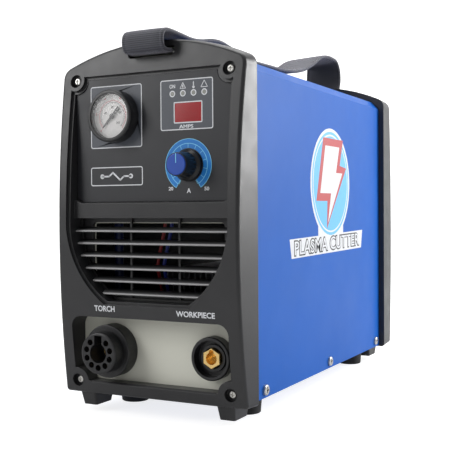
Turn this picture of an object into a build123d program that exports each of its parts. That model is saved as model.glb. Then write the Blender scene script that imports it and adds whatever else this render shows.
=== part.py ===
from build123d import *
import os

# Air plasma cutting power source. Millimetres. X = 0 is the centre plane, -Y is the front,
# Z = 0 is the surface that the rubber feet stand on.

# ---- Driving dimensions ---------------------------------------------------------------------
COVER_HALF_W = 78.4
COVER_PEAK_Z = 288.5
COVER_FOLD_Z = 266.8        # the sides end here and a sloped facet runs up to the arched top
COVER_FACET_W = 7.3
COVER_BOTTOM_Z = 17.3
COVER_SHEET = 1.0
BEZEL_HALF_W = 84.2
BEZEL_NOSE_HALF_W = 80.2
BEZEL_PEAK_Z = 294.7
FRONT_NOSE_PEAK_Z = 291.0
REAR_NOSE_PEAK_Z = 293.2
BEZEL_BOTTOM_Z = 16.0
BEZEL_WALL = 3.0
ARCH_SAG = 0.00273          # drop of the arched top per square millimetre from the centre
BULGE_Z = 143.0             # height at which both bezel faces stand furthest out
FRONT_NOSE_Y = -186.2
FRONT_BULGE_R = 757.0
FRONT_BEZEL_REAR_Y = -160.5
FRONT_SEAT_Y = -172.0        # where the front screw heads seat
REAR_BEZEL_FRONT_Y = 150.4
REAR_NOSE_Y = 190.0
REAR_BULGE_R = 1150.0
PLATE = 1.2
FRONT_PLATE_Y = -165.0      # front face of the steel front plate
REAR_PLATE_Y = 163.0        # inner face of the steel rear plate
PAN_TOP_Z = 20.0
PAN_HALF_W = COVER_HALF_W - COVER_SHEET
SCREW_X, SCREW_LOW_Z, SCREW_HIGH_Z = 69.1, 26.0, 266.0
BOSS_R = 10.5
RECESS_HALF_W = 70.5
LEDGE_W, LEDGE_DEPTH = 2.4, 2.5   # step round the mouth of the upper recess
PANEL_Y = -174.0            # visible face of the control panel overlay
PANEL_BACK_Y = -172.1
PANEL_LOW_Z, PANEL_HIGH_Z = 168.7, 266.5
GRILLE_LOW_Z, GRILLE_HIGH_Z = 91.2, 156.3
SOCKET_LOW_Z, SOCKET_HIGH_Z = 26.6, 78.7
TORCH_X, WORK_X, SOCKET_Z = -40.7, 50.3, 50.9
GAUGE_X, GAUGE_Z = -31.6, 235.8
KNOB_X, KNOB_Z = 32.9, 196.1
DISPLAY_X, DISPLAY_Z = 33.0, 236.0
LED_X, LED_Z, LED_PITCH = 33.3, 250.4, 9.2
FOOT_X, FOOT_FRONT_Y, FOOT_REAR_Y = 53.0, -118.0, 129.0
FAN_Z, FAN_SIZE, FAN_DEPTH = 101.0, 120.0, 25.0
SWITCH_X, SWITCH_Z = -36.0, 226.0
GLAND_X, GLAND_Z = 36.0, 226.0
INLET_X, INLET_Z = 36.0, 187.0
REGULATOR_X, REGULATOR_Z = -30.0, 187.0
STRAP_W, STRAP_T, STRAP_SLOT_Z = 37.0, 3.4, 284.0
SLIP = 0.05                 # radial clearance of screws and turning shafts
M3_R, M4_R = 1.5, 2.0
COUNTERBORE_R = 5.2

os.makedirs("parts", exist_ok=True)


def save(piece, name):
    piece.label = name
    export_step(piece, f"parts/{name}.step")


def upright(y):
    """Sketch plane that faces the front at depth y: local X is X, local Y is Z."""
    return Plane.XZ.offset(-y)


SCREW_SPOTS = [(sx * SCREW_X, z) for z in (SCREW_LOW_Z, SCREW_HIGH_Z) for sx in (-1, 1)]


def case_outline(half_w, bottom, peak, top_r, bottom_r):
    """Flat bottom, straight sides and a shallow arched top, with rounded corners."""
    shoulder = peak - ARCH_SAG * half_w**2
    with BuildSketch() as outline:
        with BuildLine():
            Polyline((-half_w, shoulder), (-half_w, bottom), (half_w, bottom), (half_w, shoulder))
            ThreePointArc((half_w, shoulder), (0, peak), (-half_w, shoulder))
        make_face()
        fillet(outline.vertices().group_by(Axis.Y)[-1], top_r)
        fillet(outline.vertices().group_by(Axis.Y)[0], bottom_r)
    return outline.sketch


def cover_outline(inset=0.0):
    """Section of the cover: straight sides, a sloped facet at each shoulder, an arched top."""
    half_w, top = COVER_HALF_W - inset, COVER_PEAK_Z - inset
    fold_z = COVER_FOLD_Z - 0.4 * inset
    edge_x = half_w - COVER_FACET_W + 0.3 * inset
    edge_z = top - ARCH_SAG * edge_x**2
    with BuildSketch() as outline:
        with BuildLine():
            Polyline((-edge_x, edge_z), (-half_w, fold_z), (-half_w, COVER_BOTTOM_Z),
                     (half_w, COVER_BOTTOM_Z), (half_w, fold_z), (edge_x, edge_z))
            ThreePointArc((edge_x, edge_z), (0, top), (-edge_x, edge_z))
        make_face()
    return outline.sketch


def rod(radius, start, end, bore=0.0):
    """Cylinder or tube along Y from start to end, centred on local origin of the XZ plane."""
    with BuildPart() as piece:
        with BuildSketch(upright(start)):
            Circle(radius)
            if bore:
                Circle(bore, mode=Mode.SUBTRACT)
        extrude(amount=-(end - start))
    return piece.part


def at(x, z):
    return Location((x, 0, z))


def machine_screw(head_r, head_h, shank_r, shank_l, drive=1.2):
    """Cross-head screw along +Y; the head's seat is at y = 0 and the head stands towards -Y."""
    with BuildPart() as screw:
        with BuildSketch(upright(-head_h)):
            Circle(head_r)
        extrude(amount=-head_h)
        fillet(screw.faces().sort_by(Axis.Y)[0].edges(), head_h * 0.45)
        with BuildSketch(upright(0)):
            Circle(shank_r)
        extrude(amount=-shank_l)
        with BuildSketch(upright(-head_h - 0.1)):
            Rectangle(head_r * 1.15, drive * head_r / 4)
            Rectangle(drive * head_r / 4, head_r * 1.15)
        extrude(amount=-head_h * 0.65, mode=Mode.SUBTRACT)
    return screw.part


# ---- Bezel windows --------------------------------------------------------------------------
def boss_clear(radius):
    """Circles round the four corner screws, taken out of each recess."""
    with BuildSketch() as circles:
        with Locations(*SCREW_SPOTS):
            Circle(radius)
    return circles.sketch


def upper_recess(grow=0.0):
    """Panel and grille recess: straight sides above, drawn in by two arcs below."""
    half_w, foot_half_w = RECESS_HALF_W + grow, 36.5 + grow * 0.7
    knee_z, low_z = 148.0, GRILLE_LOW_Z - grow
    with BuildSketch() as recess:
        with BuildLine():
            ThreePointArc((half_w, knee_z), (59.5 + grow * 0.9, 114.5), (foot_half_w, low_z))
            Line((foot_half_w, low_z), (-foot_half_w, low_z))
            ThreePointArc((-foot_half_w, low_z), (-59.5 - grow * 0.9, 114.5), (-half_w, knee_z))
            Polyline(
                (-half_w, knee_z), (-half_w, PANEL_HIGH_Z + grow),
                (half_w, PANEL_HIGH_Z + grow), (half_w, knee_z),
            )
        make_face()
        add(boss_clear(BOSS_R - grow), mode=Mode.SUBTRACT)
    return recess.sketch


def band(sketch, low_z, high_z):
    """The part of a sketch between two heights."""
    with BuildSketch() as part:
        add(sketch)
        with Locations((0, (low_z + high_z) / 2)):
            Rectangle(2 * BEZEL_HALF_W, high_z - low_z, mode=Mode.INTERSECT)
    return part.sketch


def lower_recess(grow=0.0):
    with BuildSketch() as recess:
        with Locations((0, (SOCKET_LOW_Z + SOCKET_HIGH_Z) / 2)):
            Rectangle(2 * (RECESS_HALF_W + grow), SOCKET_HIGH_Z - SOCKET_LOW_Z + 2 * grow)
        fillet(recess.vertices().group_by(Axis.Y)[-1], 9 + grow)
        add(boss_clear(BOSS_R - grow), mode=Mode.SUBTRACT)
    return recess.sketch


def beyond_face(nose_y, radius, side):
    """Everything outside a bulged bezel face; side is -1 at the front and 1 at the rear."""
    depth = 60.0
    centre_y = nose_y - side * radius
    with BuildPart() as outside:
        with BuildSketch(Plane.YZ):
            with Locations((nose_y + side * (depth / 2 - 30), BULGE_Z)):
                Rectangle(depth, 320)
            with Locations((centre_y, BULGE_Z)):
                Circle(radius, mode=Mode.SUBTRACT)
        extrude(amount=BEZEL_HALF_W + 2, both=True)
    return outside.part


def leg(side, middle_y):
    """Short tapered leg below one corner of a bezel, reaching back under the base pan."""
    centre = (side * 62.4, middle_y)
    with BuildPart() as piece:
        with BuildSketch(Plane.XY.offset(5.4)) as low:
            with Locations(centre):
                Rectangle(12.8, 21.0)
            fillet(low.vertices(), 1.6)
        with BuildSketch(Plane.XY.offset(BEZEL_BOTTOM_Z + 1.2)) as high:
            with Locations(centre):
                Rectangle(15.2, 28.0)
            fillet(high.vertices(), 2.0)
        loft()
    return piece.part


def strap_slot(front_y, rear_y):
    with BuildPart() as slot:
        with BuildSketch(upright(front_y)):
            with Locations((0, STRAP_SLOT_Z)):
                RectangleRounded(STRAP_W + 5.0, 7.6, 3.0)
        extrude(amount=-(rear_y - front_y))
    return slot.part


def bezel_body(rear_y, nose_y, side, bulge_r, seat_y, nose_peak):
    """Drafted moulding with a bulged face: a socket for the cover, then a narrower hollow."""
    with BuildPart() as body:
        with BuildSketch(upright(rear_y)):
            add(case_outline(BEZEL_HALF_W, BEZEL_BOTTOM_Z, BEZEL_PEAK_Z, 9.5, 3.0))
        with BuildSketch(upright(nose_y + side * 2)):
            add(case_outline(BEZEL_NOSE_HALF_W, BEZEL_BOTTOM_Z, nose_peak, 9.5, 3.0))
        loft()
        add(beyond_face(nose_y, bulge_r, side), mode=Mode.SUBTRACT)
        face = body.faces().sort_by(Axis.Y)[0 if side < 0 else -1]
        fillet(face.edges(), 2.6)
    with BuildPart() as cavity:
        with BuildSketch(upright(rear_y)):
            add(cover_outline(-0.1))
            with Locations((0, COVER_BOTTOM_Z)):
                Rectangle(2 * COVER_HALF_W + 0.2, 0.2)
        extrude(amount=rear_y - seat_y)
        with BuildSketch(upright(seat_y)):
            add(case_outline(COVER_HALF_W - 2, BEZEL_BOTTOM_Z + BEZEL_WALL, COVER_PEAK_Z - 0.5, 9.5, 1.5))
        extrude(amount=seat_y - nose_y)
        add(beyond_face(nose_y - side * BEZEL_WALL, bulge_r, side), mode=Mode.SUBTRACT)
    with BuildPart() as shell:
        add(body.part)
        add(cavity.part, mode=Mode.SUBTRACT)
    return shell.part


def collar(outline_outer, outline_inner, near_y, far_y):
    """Wall round a recess, from the face back to far_y."""
    with BuildPart() as wall:
        with BuildSketch(upright(near_y)):
            add(outline_outer)
            add(outline_inner, mode=Mode.SUBTRACT)
        extrude(amount=-(far_y - near_y))
    return wall.part


def prism(outline, near_y, far_y):
    with BuildPart() as block:
        with BuildSketch(upright(near_y)):
            add(outline)
        extrude(amount=-(far_y - near_y))
    return block.part


# ---- Front bezel ----------------------------------------------------------------------------
GRILLE_OPENING = (120.0, 57.0, 124.5)   # width, height and centre height behind the louvres


def grille_opening(grow=0.0):
    width, height, middle_z = GRILLE_OPENING
    with BuildSketch() as opening:
        with Locations((0, middle_z)):
            RectangleRounded(width + 2 * grow, height + 2 * grow, 3 + grow)
    return opening.sketch


def crossbar_outline(grow=0.0):
    """Bar between the panel and the grille, with a small rise at each end."""
    end_x, rise = RECESS_HALF_W + 0.5, 2.2
    with BuildSketch() as bar:
        with BuildLine():
            Polyline((-end_x, GRILLE_HIGH_Z), (end_x, GRILLE_HIGH_Z), (end_x, PANEL_LOW_Z + rise + grow),
                     (end_x - 1.5, PANEL_LOW_Z + rise + grow), (end_x - 7, PANEL_LOW_Z + grow),
                     (7 - end_x, PANEL_LOW_Z + grow), (1.5 - end_x, PANEL_LOW_Z + rise + grow),
                     (-end_x, PANEL_LOW_Z + rise + grow), close=True)
        make_face()
    return bar.sketch


def make_crossbar():
    with BuildPart() as bar:
        with BuildSketch(upright(-178.0)):
            add(crossbar_outline())
        extrude(amount=-7.0)
        front_top = bar.faces().sort_by(Axis.Y)[0].edges().filter_by(lambda e: e.center().Z > PANEL_LOW_Z - 1)
        chamfer(front_top.filter_by(lambda e: abs(e.center().X) < RECESS_HALF_W), 0.7)
    return bar.part


def make_front_bezel():
    outside = beyond_face(FRONT_NOSE_Y, FRONT_BULGE_R, -1)
    with BuildPart() as ledge:
        add(prism(upper_recess(LEDGE_W), -200, FRONT_PLATE_Y))
        add(beyond_face(FRONT_NOSE_Y + LEDGE_DEPTH, FRONT_BULGE_R, -1), mode=Mode.INTERSECT)
    sill_y = FRONT_NOSE_Y + FRONT_BULGE_R - (FRONT_BULGE_R**2 - (BULGE_Z - SOCKET_LOW_Z)**2) ** 0.5
    with BuildPart() as inner:
        add(collar(upper_recess(2.5), upper_recess(), FRONT_NOSE_Y - 1, -169.0))
        add(collar(lower_recess(2.5), lower_recess(), FRONT_NOSE_Y - 1, FRONT_PLATE_Y))
        for x, z in SCREW_SPOTS:
            with Locations(at(x, z)):
                add(rod(BOSS_R - 2.2, FRONT_NOSE_Y, FRONT_PLATE_Y))
        add(prism(case_outline(BEZEL_NOSE_HALF_W - 1, BEZEL_BOTTOM_Z, 290.0, 9.5, 3.0),
                  FRONT_NOSE_Y - 20, FRONT_PLATE_Y), mode=Mode.INTERSECT)
        add(outside, mode=Mode.SUBTRACT)
    with BuildPart() as bezel:
        add(bezel_body(FRONT_BEZEL_REAR_Y, FRONT_NOSE_Y, -1, FRONT_BULGE_R, FRONT_PLATE_Y, FRONT_NOSE_PEAK_Z))
        add(inner.part)
        add(prism(upper_recess(), -200, FRONT_PLATE_Y), mode=Mode.SUBTRACT)
        add(prism(lower_recess(), -200, FRONT_PLATE_Y), mode=Mode.SUBTRACT)
        add(ledge.part, mode=Mode.SUBTRACT)
        with Locations(Location((0, sill_y, SOCKET_LOW_Z), (45, 0, 0))):
            Box(114, 2.2, 2.2, mode=Mode.SUBTRACT)
        add(make_crossbar())
        add(collar(band(upper_recess(1.0), GRILLE_LOW_Z, GRILLE_HIGH_Z + 1), grille_opening(), -167.4, FRONT_PLATE_Y))
        for sx in (-1, 1):
            add(leg(sx, -159.5))
        for x, z in SCREW_SPOTS:
            with Locations(at(x, z)):
                add(rod(COUNTERBORE_R, -200, FRONT_SEAT_Y), mode=Mode.SUBTRACT)
                add(rod(M3_R + SLIP, FRONT_SEAT_Y, FRONT_PLATE_Y), mode=Mode.SUBTRACT)
        add(strap_slot(-190, -160), mode=Mode.SUBTRACT)
    return bezel.part


def make_front_grille():
    """Six louvres that slope up towards the inside, joined by an edge ring and two upright ribs."""
    fit, front_y, back_y = 0.15, -177.0, -167.5
    with BuildPart() as slats:
        with BuildSketch(Plane.YZ):
            for i in range(6):
                z = 147.4 - 9.87 * i
                with BuildLine():
                    Polyline((front_y + 0.5, z - 2.1), (front_y, z - 1.5), (front_y + 0.3, z - 0.7),
                             (back_y - 0.3, z + 2.0), (back_y, z + 0.9), (front_y + 2.5, z - 1.9),
                             close=True)
                make_face()
        extrude(amount=RECESS_HALF_W, both=True)
        with BuildSketch(upright(-170.0)):
            add(band(upper_recess(-fit), 90, GRILLE_HIGH_Z - fit))
            add(band(upper_recess(-2.2), 90, GRILLE_HIGH_Z + 1), mode=Mode.SUBTRACT)
        extrude(amount=-2.5)
        with BuildSketch(upright(-169.5)):
            for x in (-22, 22):
                with Locations((x, 123)):
                    Rectangle(1.8, 70)
        extrude(amount=-2.0)
        add(prism(band(upper_recess(-fit), 90, GRILLE_HIGH_Z - fit), -180, -165), mode=Mode.INTERSECT)
    return slats.part


# ---- Sheet metal ----------------------------------------------------------------------------
def make_front_plate():
    with BuildPart() as plate:
        with BuildSketch(upright(FRONT_PLATE_Y)):
            add(cover_outline())
            add(grille_opening(-0.8), mode=Mode.SUBTRACT)
            with Locations((0, 217)):
                RectangleRounded(124, 90, 4, mode=Mode.SUBTRACT)
            with Locations((TORCH_X, SOCKET_Z)):
                Circle(14.0 + SLIP, mode=Mode.SUBTRACT)
            with Locations((WORK_X, SOCKET_Z)):
                Circle(10.0 + SLIP, mode=Mode.SUBTRACT)
            with Locations(*SCREW_SPOTS):
                Circle(M3_R + SLIP, mode=Mode.SUBTRACT)
        extrude(amount=-PLATE)
    return plate.part


def make_rear_plate():
    with BuildPart() as plate:
        with BuildSketch(upright(REAR_PLATE_Y)):
            add(cover_outline())
            with Locations((0, FAN_Z)):
                Circle(57.0, mode=Mode.SUBTRACT)
                with GridLocations(105, 105, 2, 2):
                    Circle(2.0 + SLIP, mode=Mode.SUBTRACT)
            with Locations((SWITCH_X, SWITCH_Z)):
                Rectangle(22.2, 28.2, mode=Mode.SUBTRACT)
            with Locations((GLAND_X, GLAND_Z)):
                Circle(10.0 + SLIP, mode=Mode.SUBTRACT)
            with Locations((INLET_X, INLET_Z)):
                Circle(6.5 + SLIP, mode=Mode.SUBTRACT)
            with Locations((REGULATOR_X, REGULATOR_Z)):
                Circle(13.0 + SLIP, mode=Mode.SUBTRACT)
            with Locations(*SCREW_SPOTS):
                Circle(M3_R + SLIP, mode=Mode.SUBTRACT)
        extrude(amount=-PLATE)
    return plate.part


SIDE_SCREW_YS = (-137.2, 2.5, 137.0)
SIDE_SCREW_Z = 23.6


def side_holes(radius, from_x, to_x):
    """Holes along X for the side screws, at both sides."""
    with BuildPart() as holes:
        for side, plane in ((-1, Plane.YZ.offset(-to_x)), (1, Plane.YZ.offset(from_x))):
            with BuildSketch(plane):
                with Locations(*[(y, SIDE_SCREW_Z) for y in SIDE_SCREW_YS]):
                    Circle(radius)
            extrude(amount=to_x - from_x)
    return holes.part


def make_cover():
    with BuildPart() as cover:
        with BuildSketch(upright(FRONT_PLATE_Y + PLATE)):
            add(cover_outline())
            add(cover_outline(COVER_SHEET), mode=Mode.SUBTRACT)
        extrude(amount=-(REAR_PLATE_Y - FRONT_PLATE_Y - PLATE))
        add(side_holes(2.0 + SLIP, 70, 90), mode=Mode.SUBTRACT)
    return cover.part


def make_base_pan():
    length = REAR_PLATE_Y - FRONT_PLATE_Y - PLATE
    middle_y = (REAR_PLATE_Y + FRONT_PLATE_Y + PLATE) / 2
    with BuildPart() as pan:
        with BuildSketch(upright(FRONT_PLATE_Y + PLATE)):
            with BuildLine():
                Polyline((-PAN_HALF_W, 40), (-PAN_HALF_W, PAN_TOP_Z - PLATE),
                         (PAN_HALF_W, PAN_TOP_Z - PLATE), (PAN_HALF_W, 40),
                         (PAN_HALF_W - PLATE, 40), (PAN_HALF_W - PLATE, PAN_TOP_Z),
                         (PLATE - PAN_HALF_W, PAN_TOP_Z), (PLATE - PAN_HALF_W, 40), close=True)
            make_face()
        extrude(amount=-length)
        add(side_holes(2.0 + SLIP, 70, 90), mode=Mode.SUBTRACT)
        with BuildSketch(Plane.XY.offset(PAN_TOP_Z - 5)):
            with Locations(*[(sx * FOOT_X, y) for sx in (-1, 1) for y in (FOOT_FRONT_Y, FOOT_REAR_Y)]):
                Circle(2.5 + SLIP)
            with Locations((0, middle_y)):
                with GridLocations(14, 0.01, 6, 1):
                    SlotCenterToCenter(60, 5, rotation=90)
        extrude(amount=10, mode=Mode.SUBTRACT)
    return pan.part


def make_rubber_foot(x, y):
    """Tapered rubber buffer with a stud moulded into its top."""
    with BuildPart() as foot:
        with Locations((x, y, 0)):
            Cone(11.5, 13.0, PAN_TOP_Z - PLATE, align=(Align.CENTER, Align.CENTER, Align.MIN))
        fillet(foot.edges().group_by(Axis.Z)[0], 1.2)
        with Locations((x, y, 0)):
            Cylinder(4.5, 8.0, align=(Align.CENTER, Align.CENTER, Align.MIN), mode=Mode.SUBTRACT)
            Cylinder(2.55, 30.0, align=(Align.CENTER, Align.CENTER, Align.MIN), mode=Mode.SUBTRACT)
    return foot.part


def make_foot_studs():
    with BuildPart() as studs:
        for x in (-FOOT_X, FOOT_X):
            for y in (FOOT_FRONT_Y, FOOT_REAR_Y):
                with Locations((x, y, 8.0)):
                    Cylinder(2.5, 14.0, align=(Align.CENTER, Align.CENTER, Align.MIN))
                with Locations((x, y, 5.0)):
                    Cylinder(4.3, 3.0, align=(Align.CENTER, Align.CENTER, Align.MIN))
                with BuildSketch(Plane.XY.offset(PAN_TOP_Z)):
                    with Locations((x, y)):
                        RegularPolygon(4.6, 6)
                extrude(amount=4.0)
    return studs.part


# ---- Front panel ----------------------------------------------------------------------------
LED_SPOTS = [(LED_X + LED_PITCH * (i - 1.5), LED_Z) for i in range(4)]


def panel_sheet(outline, near_y, far_y, slack):
    with BuildPart() as sheet:
        with BuildSketch(upright(near_y)):
            add(outline)
            with Locations((GAUGE_X, GAUGE_Z)):
                Circle(17.8 + slack, mode=Mode.SUBTRACT)
            with Locations((DISPLAY_X, DISPLAY_Z)):
                RectangleRounded(23.0 + 2 * slack, 14.4 + 2 * slack, 0.8, mode=Mode.SUBTRACT)
            with Locations(*LED_SPOTS):
                Circle(1.5 + slack, mode=Mode.SUBTRACT)
            with Locations((KNOB_X, KNOB_Z)):
                Circle(3.5 + slack, mode=Mode.SUBTRACT)
        extrude(amount=-(far_y - near_y))
    return sheet.part


GAUGE_FRONT_Y, GAUGE_BORE_R, DIAL_Y = -185.2, 17.4, -178.9


def make_gauge_case():
    with BuildPart() as case:
        with BuildSketch(upright(GAUGE_FRONT_Y)):
            Circle(20.4)
        extrude(amount=GAUGE_FRONT_Y - PANEL_Y)
        fillet(case.faces().sort_by(Axis.Y)[0].edges(), 1.6)
        with BuildSketch(upright(PANEL_Y)):
            Circle(17.8)
        extrude(amount=-15.5)
        with BuildSketch(upright(GAUGE_FRONT_Y - 0.1)):
            Circle(GAUGE_BORE_R)
        extrude(amount=GAUGE_FRONT_Y - 0.7 - DIAL_Y, mode=Mode.SUBTRACT)
        with BuildSketch(upright(DIAL_Y)):
            Circle(0.9)
        extrude(amount=-4.0, mode=Mode.SUBTRACT)
    return case.part.moved(at(GAUGE_X, GAUGE_Z))


def make_gauge_needle():
    """Pointer, broad counterweight and spindle, at rest on zero in the lower left."""
    with BuildPart() as needle:
        with BuildSketch(upright(DIAL_Y - 2.0)):
            with BuildLine():
                Polyline((-1.5, -9.3), (1.5, -9.3), (0.35, 12.4), (-0.35, 12.4), close=True)
            make_face()
            Circle(2.1)
        extrude(amount=-0.6)
        with BuildSketch(upright(DIAL_Y - 2.3)):
            Circle(1.1)
        extrude(amount=-1.0)
        with BuildSketch(upright(DIAL_Y - 1.4)):
            Circle(0.6)
        extrude(amount=-4.5)
    return needle.part.rotate(Axis.Y, -135).moved(at(GAUGE_X, GAUGE_Z))


def make_knob():
    """Skirted knob: a bevelled skirt and a grooved barrel with a socket for its cap."""
    with BuildPart() as knob:
        with BuildSketch(Plane.YZ):
            with BuildLine():
                Polyline((-174.7, 0), (-174.7, 11.9), (-176.4, 11.9), (-178.9, 9.8),
                         (-191.8, 8.7), (-191.8, 0), close=True)
            make_face()
        revolve(axis=Axis.Y)
        with BuildSketch(upright(-192)):
            Circle(8.02)
        extrude(amount=-3.0, mode=Mode.SUBTRACT)
        with BuildSketch(upright(-190.5)):
            with PolarLocations(9.5, 18):
                Circle(0.55)
        extrude(amount=-11.0, mode=Mode.SUBTRACT)
        with BuildSketch(upright(-187.0)):
            Circle(3.02)
        extrude(amount=-20.0, mode=Mode.SUBTRACT)
        with BuildSketch(upright(-178.4)):
            Circle(6.0)
        extrude(amount=-10.0, mode=Mode.SUBTRACT)
    return knob.part.moved(at(KNOB_X, KNOB_Z))


def make_knob_cap():
    with BuildPart() as cap:
        with BuildSketch(upright(-192.6)):
            Circle(8.0)
        extrude(amount=-3.4)
        fillet(cap.faces().sort_by(Axis.Y)[0].edges(), 0.6)
        with BuildSketch(upright(-192.7)):
            with Locations((0, 4.4)):
                Rectangle(0.9, 6.2)
        extrude(amount=-0.5, mode=Mode.SUBTRACT)
    return cap.part.moved(at(KNOB_X, KNOB_Z))


def make_potentiometer():
    with BuildPart() as pot:
        add(rod(3.5, -176.0, PANEL_BACK_Y))
        add(rod(11.5, PANEL_BACK_Y, -162.5))
        with Locations(Location((0, -166.5, -11))):
            Box(12, 2.0, 8)
        add(rod(3.06, -177, -161), mode=Mode.SUBTRACT)
    return pot.part.moved(at(KNOB_X, KNOB_Z))


# ---- Sockets --------------------------------------------------------------------------------
TORCH_NOSE_R, TORCH_BARREL_R = 16.4, 21.0
CONTACT_RING_R, CONTACT_HOLE_R = 11.2, 2.4
CONTACT_SPOTS = []
for step in range(-4, 5):
    spoke = Vector(0, -CONTACT_RING_R).rotate(Axis.Z, 34.6 * step)
    CONTACT_SPOTS.append((spoke.X, spoke.Y))


def make_torch_nose():
    """Round nose with nine contact holes, a central gas hole and its keyway."""
    with BuildPart() as nose:
        add(rod(TORCH_NOSE_R, -189.2, -177.6))
        fillet(nose.faces().sort_by(Axis.Y)[0].edges(), 1.6)
        add(rod(14.0, -177.6, -152.0))
        with BuildSketch(upright(-190)):
            with Locations(*CONTACT_SPOTS):
                Circle(CONTACT_HOLE_R)
            Circle(7.6)
            with Locations((0, 9.2)):
                Rectangle(7.0, 9.2)
        extrude(amount=-18, mode=Mode.SUBTRACT)
        add(rod(4.0, -172.5, -150.0), mode=Mode.SUBTRACT)
    return nose.part.moved(at(TORCH_X, SOCKET_Z))


def make_torch_contacts():
    """Nine brass sleeves at the bottom of the contact holes."""
    with BuildPart() as sleeves:
        with BuildSketch(upright(-180.5)):
            with Locations(*CONTACT_SPOTS):
                Circle(CONTACT_HOLE_R - 0.05)
                Circle(1.4, mode=Mode.SUBTRACT)
        extrude(amount=-8.4)
    return sleeves.part.moved(at(TORCH_X, SOCKET_Z))


def make_torch_gas_tube():
    """Brass gas tube with a hose barb behind the plate."""
    with BuildPart() as tube:
        with BuildSketch(Plane.YZ):
            with BuildLine():
                Polyline((-175.5, 2.2), (-175.5, 3.9), (-151.9, 3.9), (-151.9, 6.5), (-147.0, 6.5),
                         (-147.0, 3.6), (-145.0, 4.2), (-141.0, 3.2), (-141.0, 2.2), close=True)
            make_face()
        revolve(axis=Axis.Y)
    return tube.part.moved(at(TORCH_X, SOCKET_Z))


def ring_nut(outer_flat_r, bore, near_y, thickness):
    with BuildPart() as nut:
        with BuildSketch(upright(near_y)):
            RegularPolygon(outer_flat_r, 6)
            Circle(bore, mode=Mode.SUBTRACT)
        extrude(amount=-thickness)
    return nut.part


def make_work_shell():
    """Insulating shell of the work-lead socket: a rim, a deep groove and a middle platform."""
    with BuildPart() as shell:
        with BuildSketch(Plane.YZ):
            with BuildLine():
                Polyline((-165.0, 8.0), (-165.0, 16.5), (-173.0, 16.5), (-174.0, 15.7),
                         (-174.0, 13.9), (-166.6, 13.4), (-166.6, 10.6), (-169.2, 10.3),
                         (-169.2, 8.0), close=True)
            make_face()
        revolve(axis=Axis.Y)
        with BuildSketch(upright(-165.0)):
            Circle(10.0)
            Circle(8.0, mode=Mode.SUBTRACT)
        extrude(amount=-9.0)
        with BuildSketch(upright(-180)):
            RegularPolygon(8.05, 6, rotation=90)
        extrude(amount=-24.5, mode=Mode.SUBTRACT)
    return shell.part.moved(at(WORK_X, SOCKET_Z))


def make_work_insert():
    """Hexagonal brass insert with a 9 mm bore, a bayonet key notch and a rear stud."""
    with BuildPart() as insert:
        with BuildSketch(upright(-172.0)):
            RegularPolygon(8.0, 6, rotation=90)
        extrude(amount=-16.0)
        with BuildSketch(upright(-156.0)):
            Circle(5.0)
        extrude(amount=-14.0)
        chamfer(insert.faces().sort_by(Axis.Y)[0].edges(), 0.4)
        with BuildSketch(upright(-173)):
            Circle(4.6)
            with Locations((0, 4.6)):
                Circle(2.1)
        extrude(amount=-13.0, mode=Mode.SUBTRACT)
    return insert.part.moved(at(WORK_X, SOCKET_Z))


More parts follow.
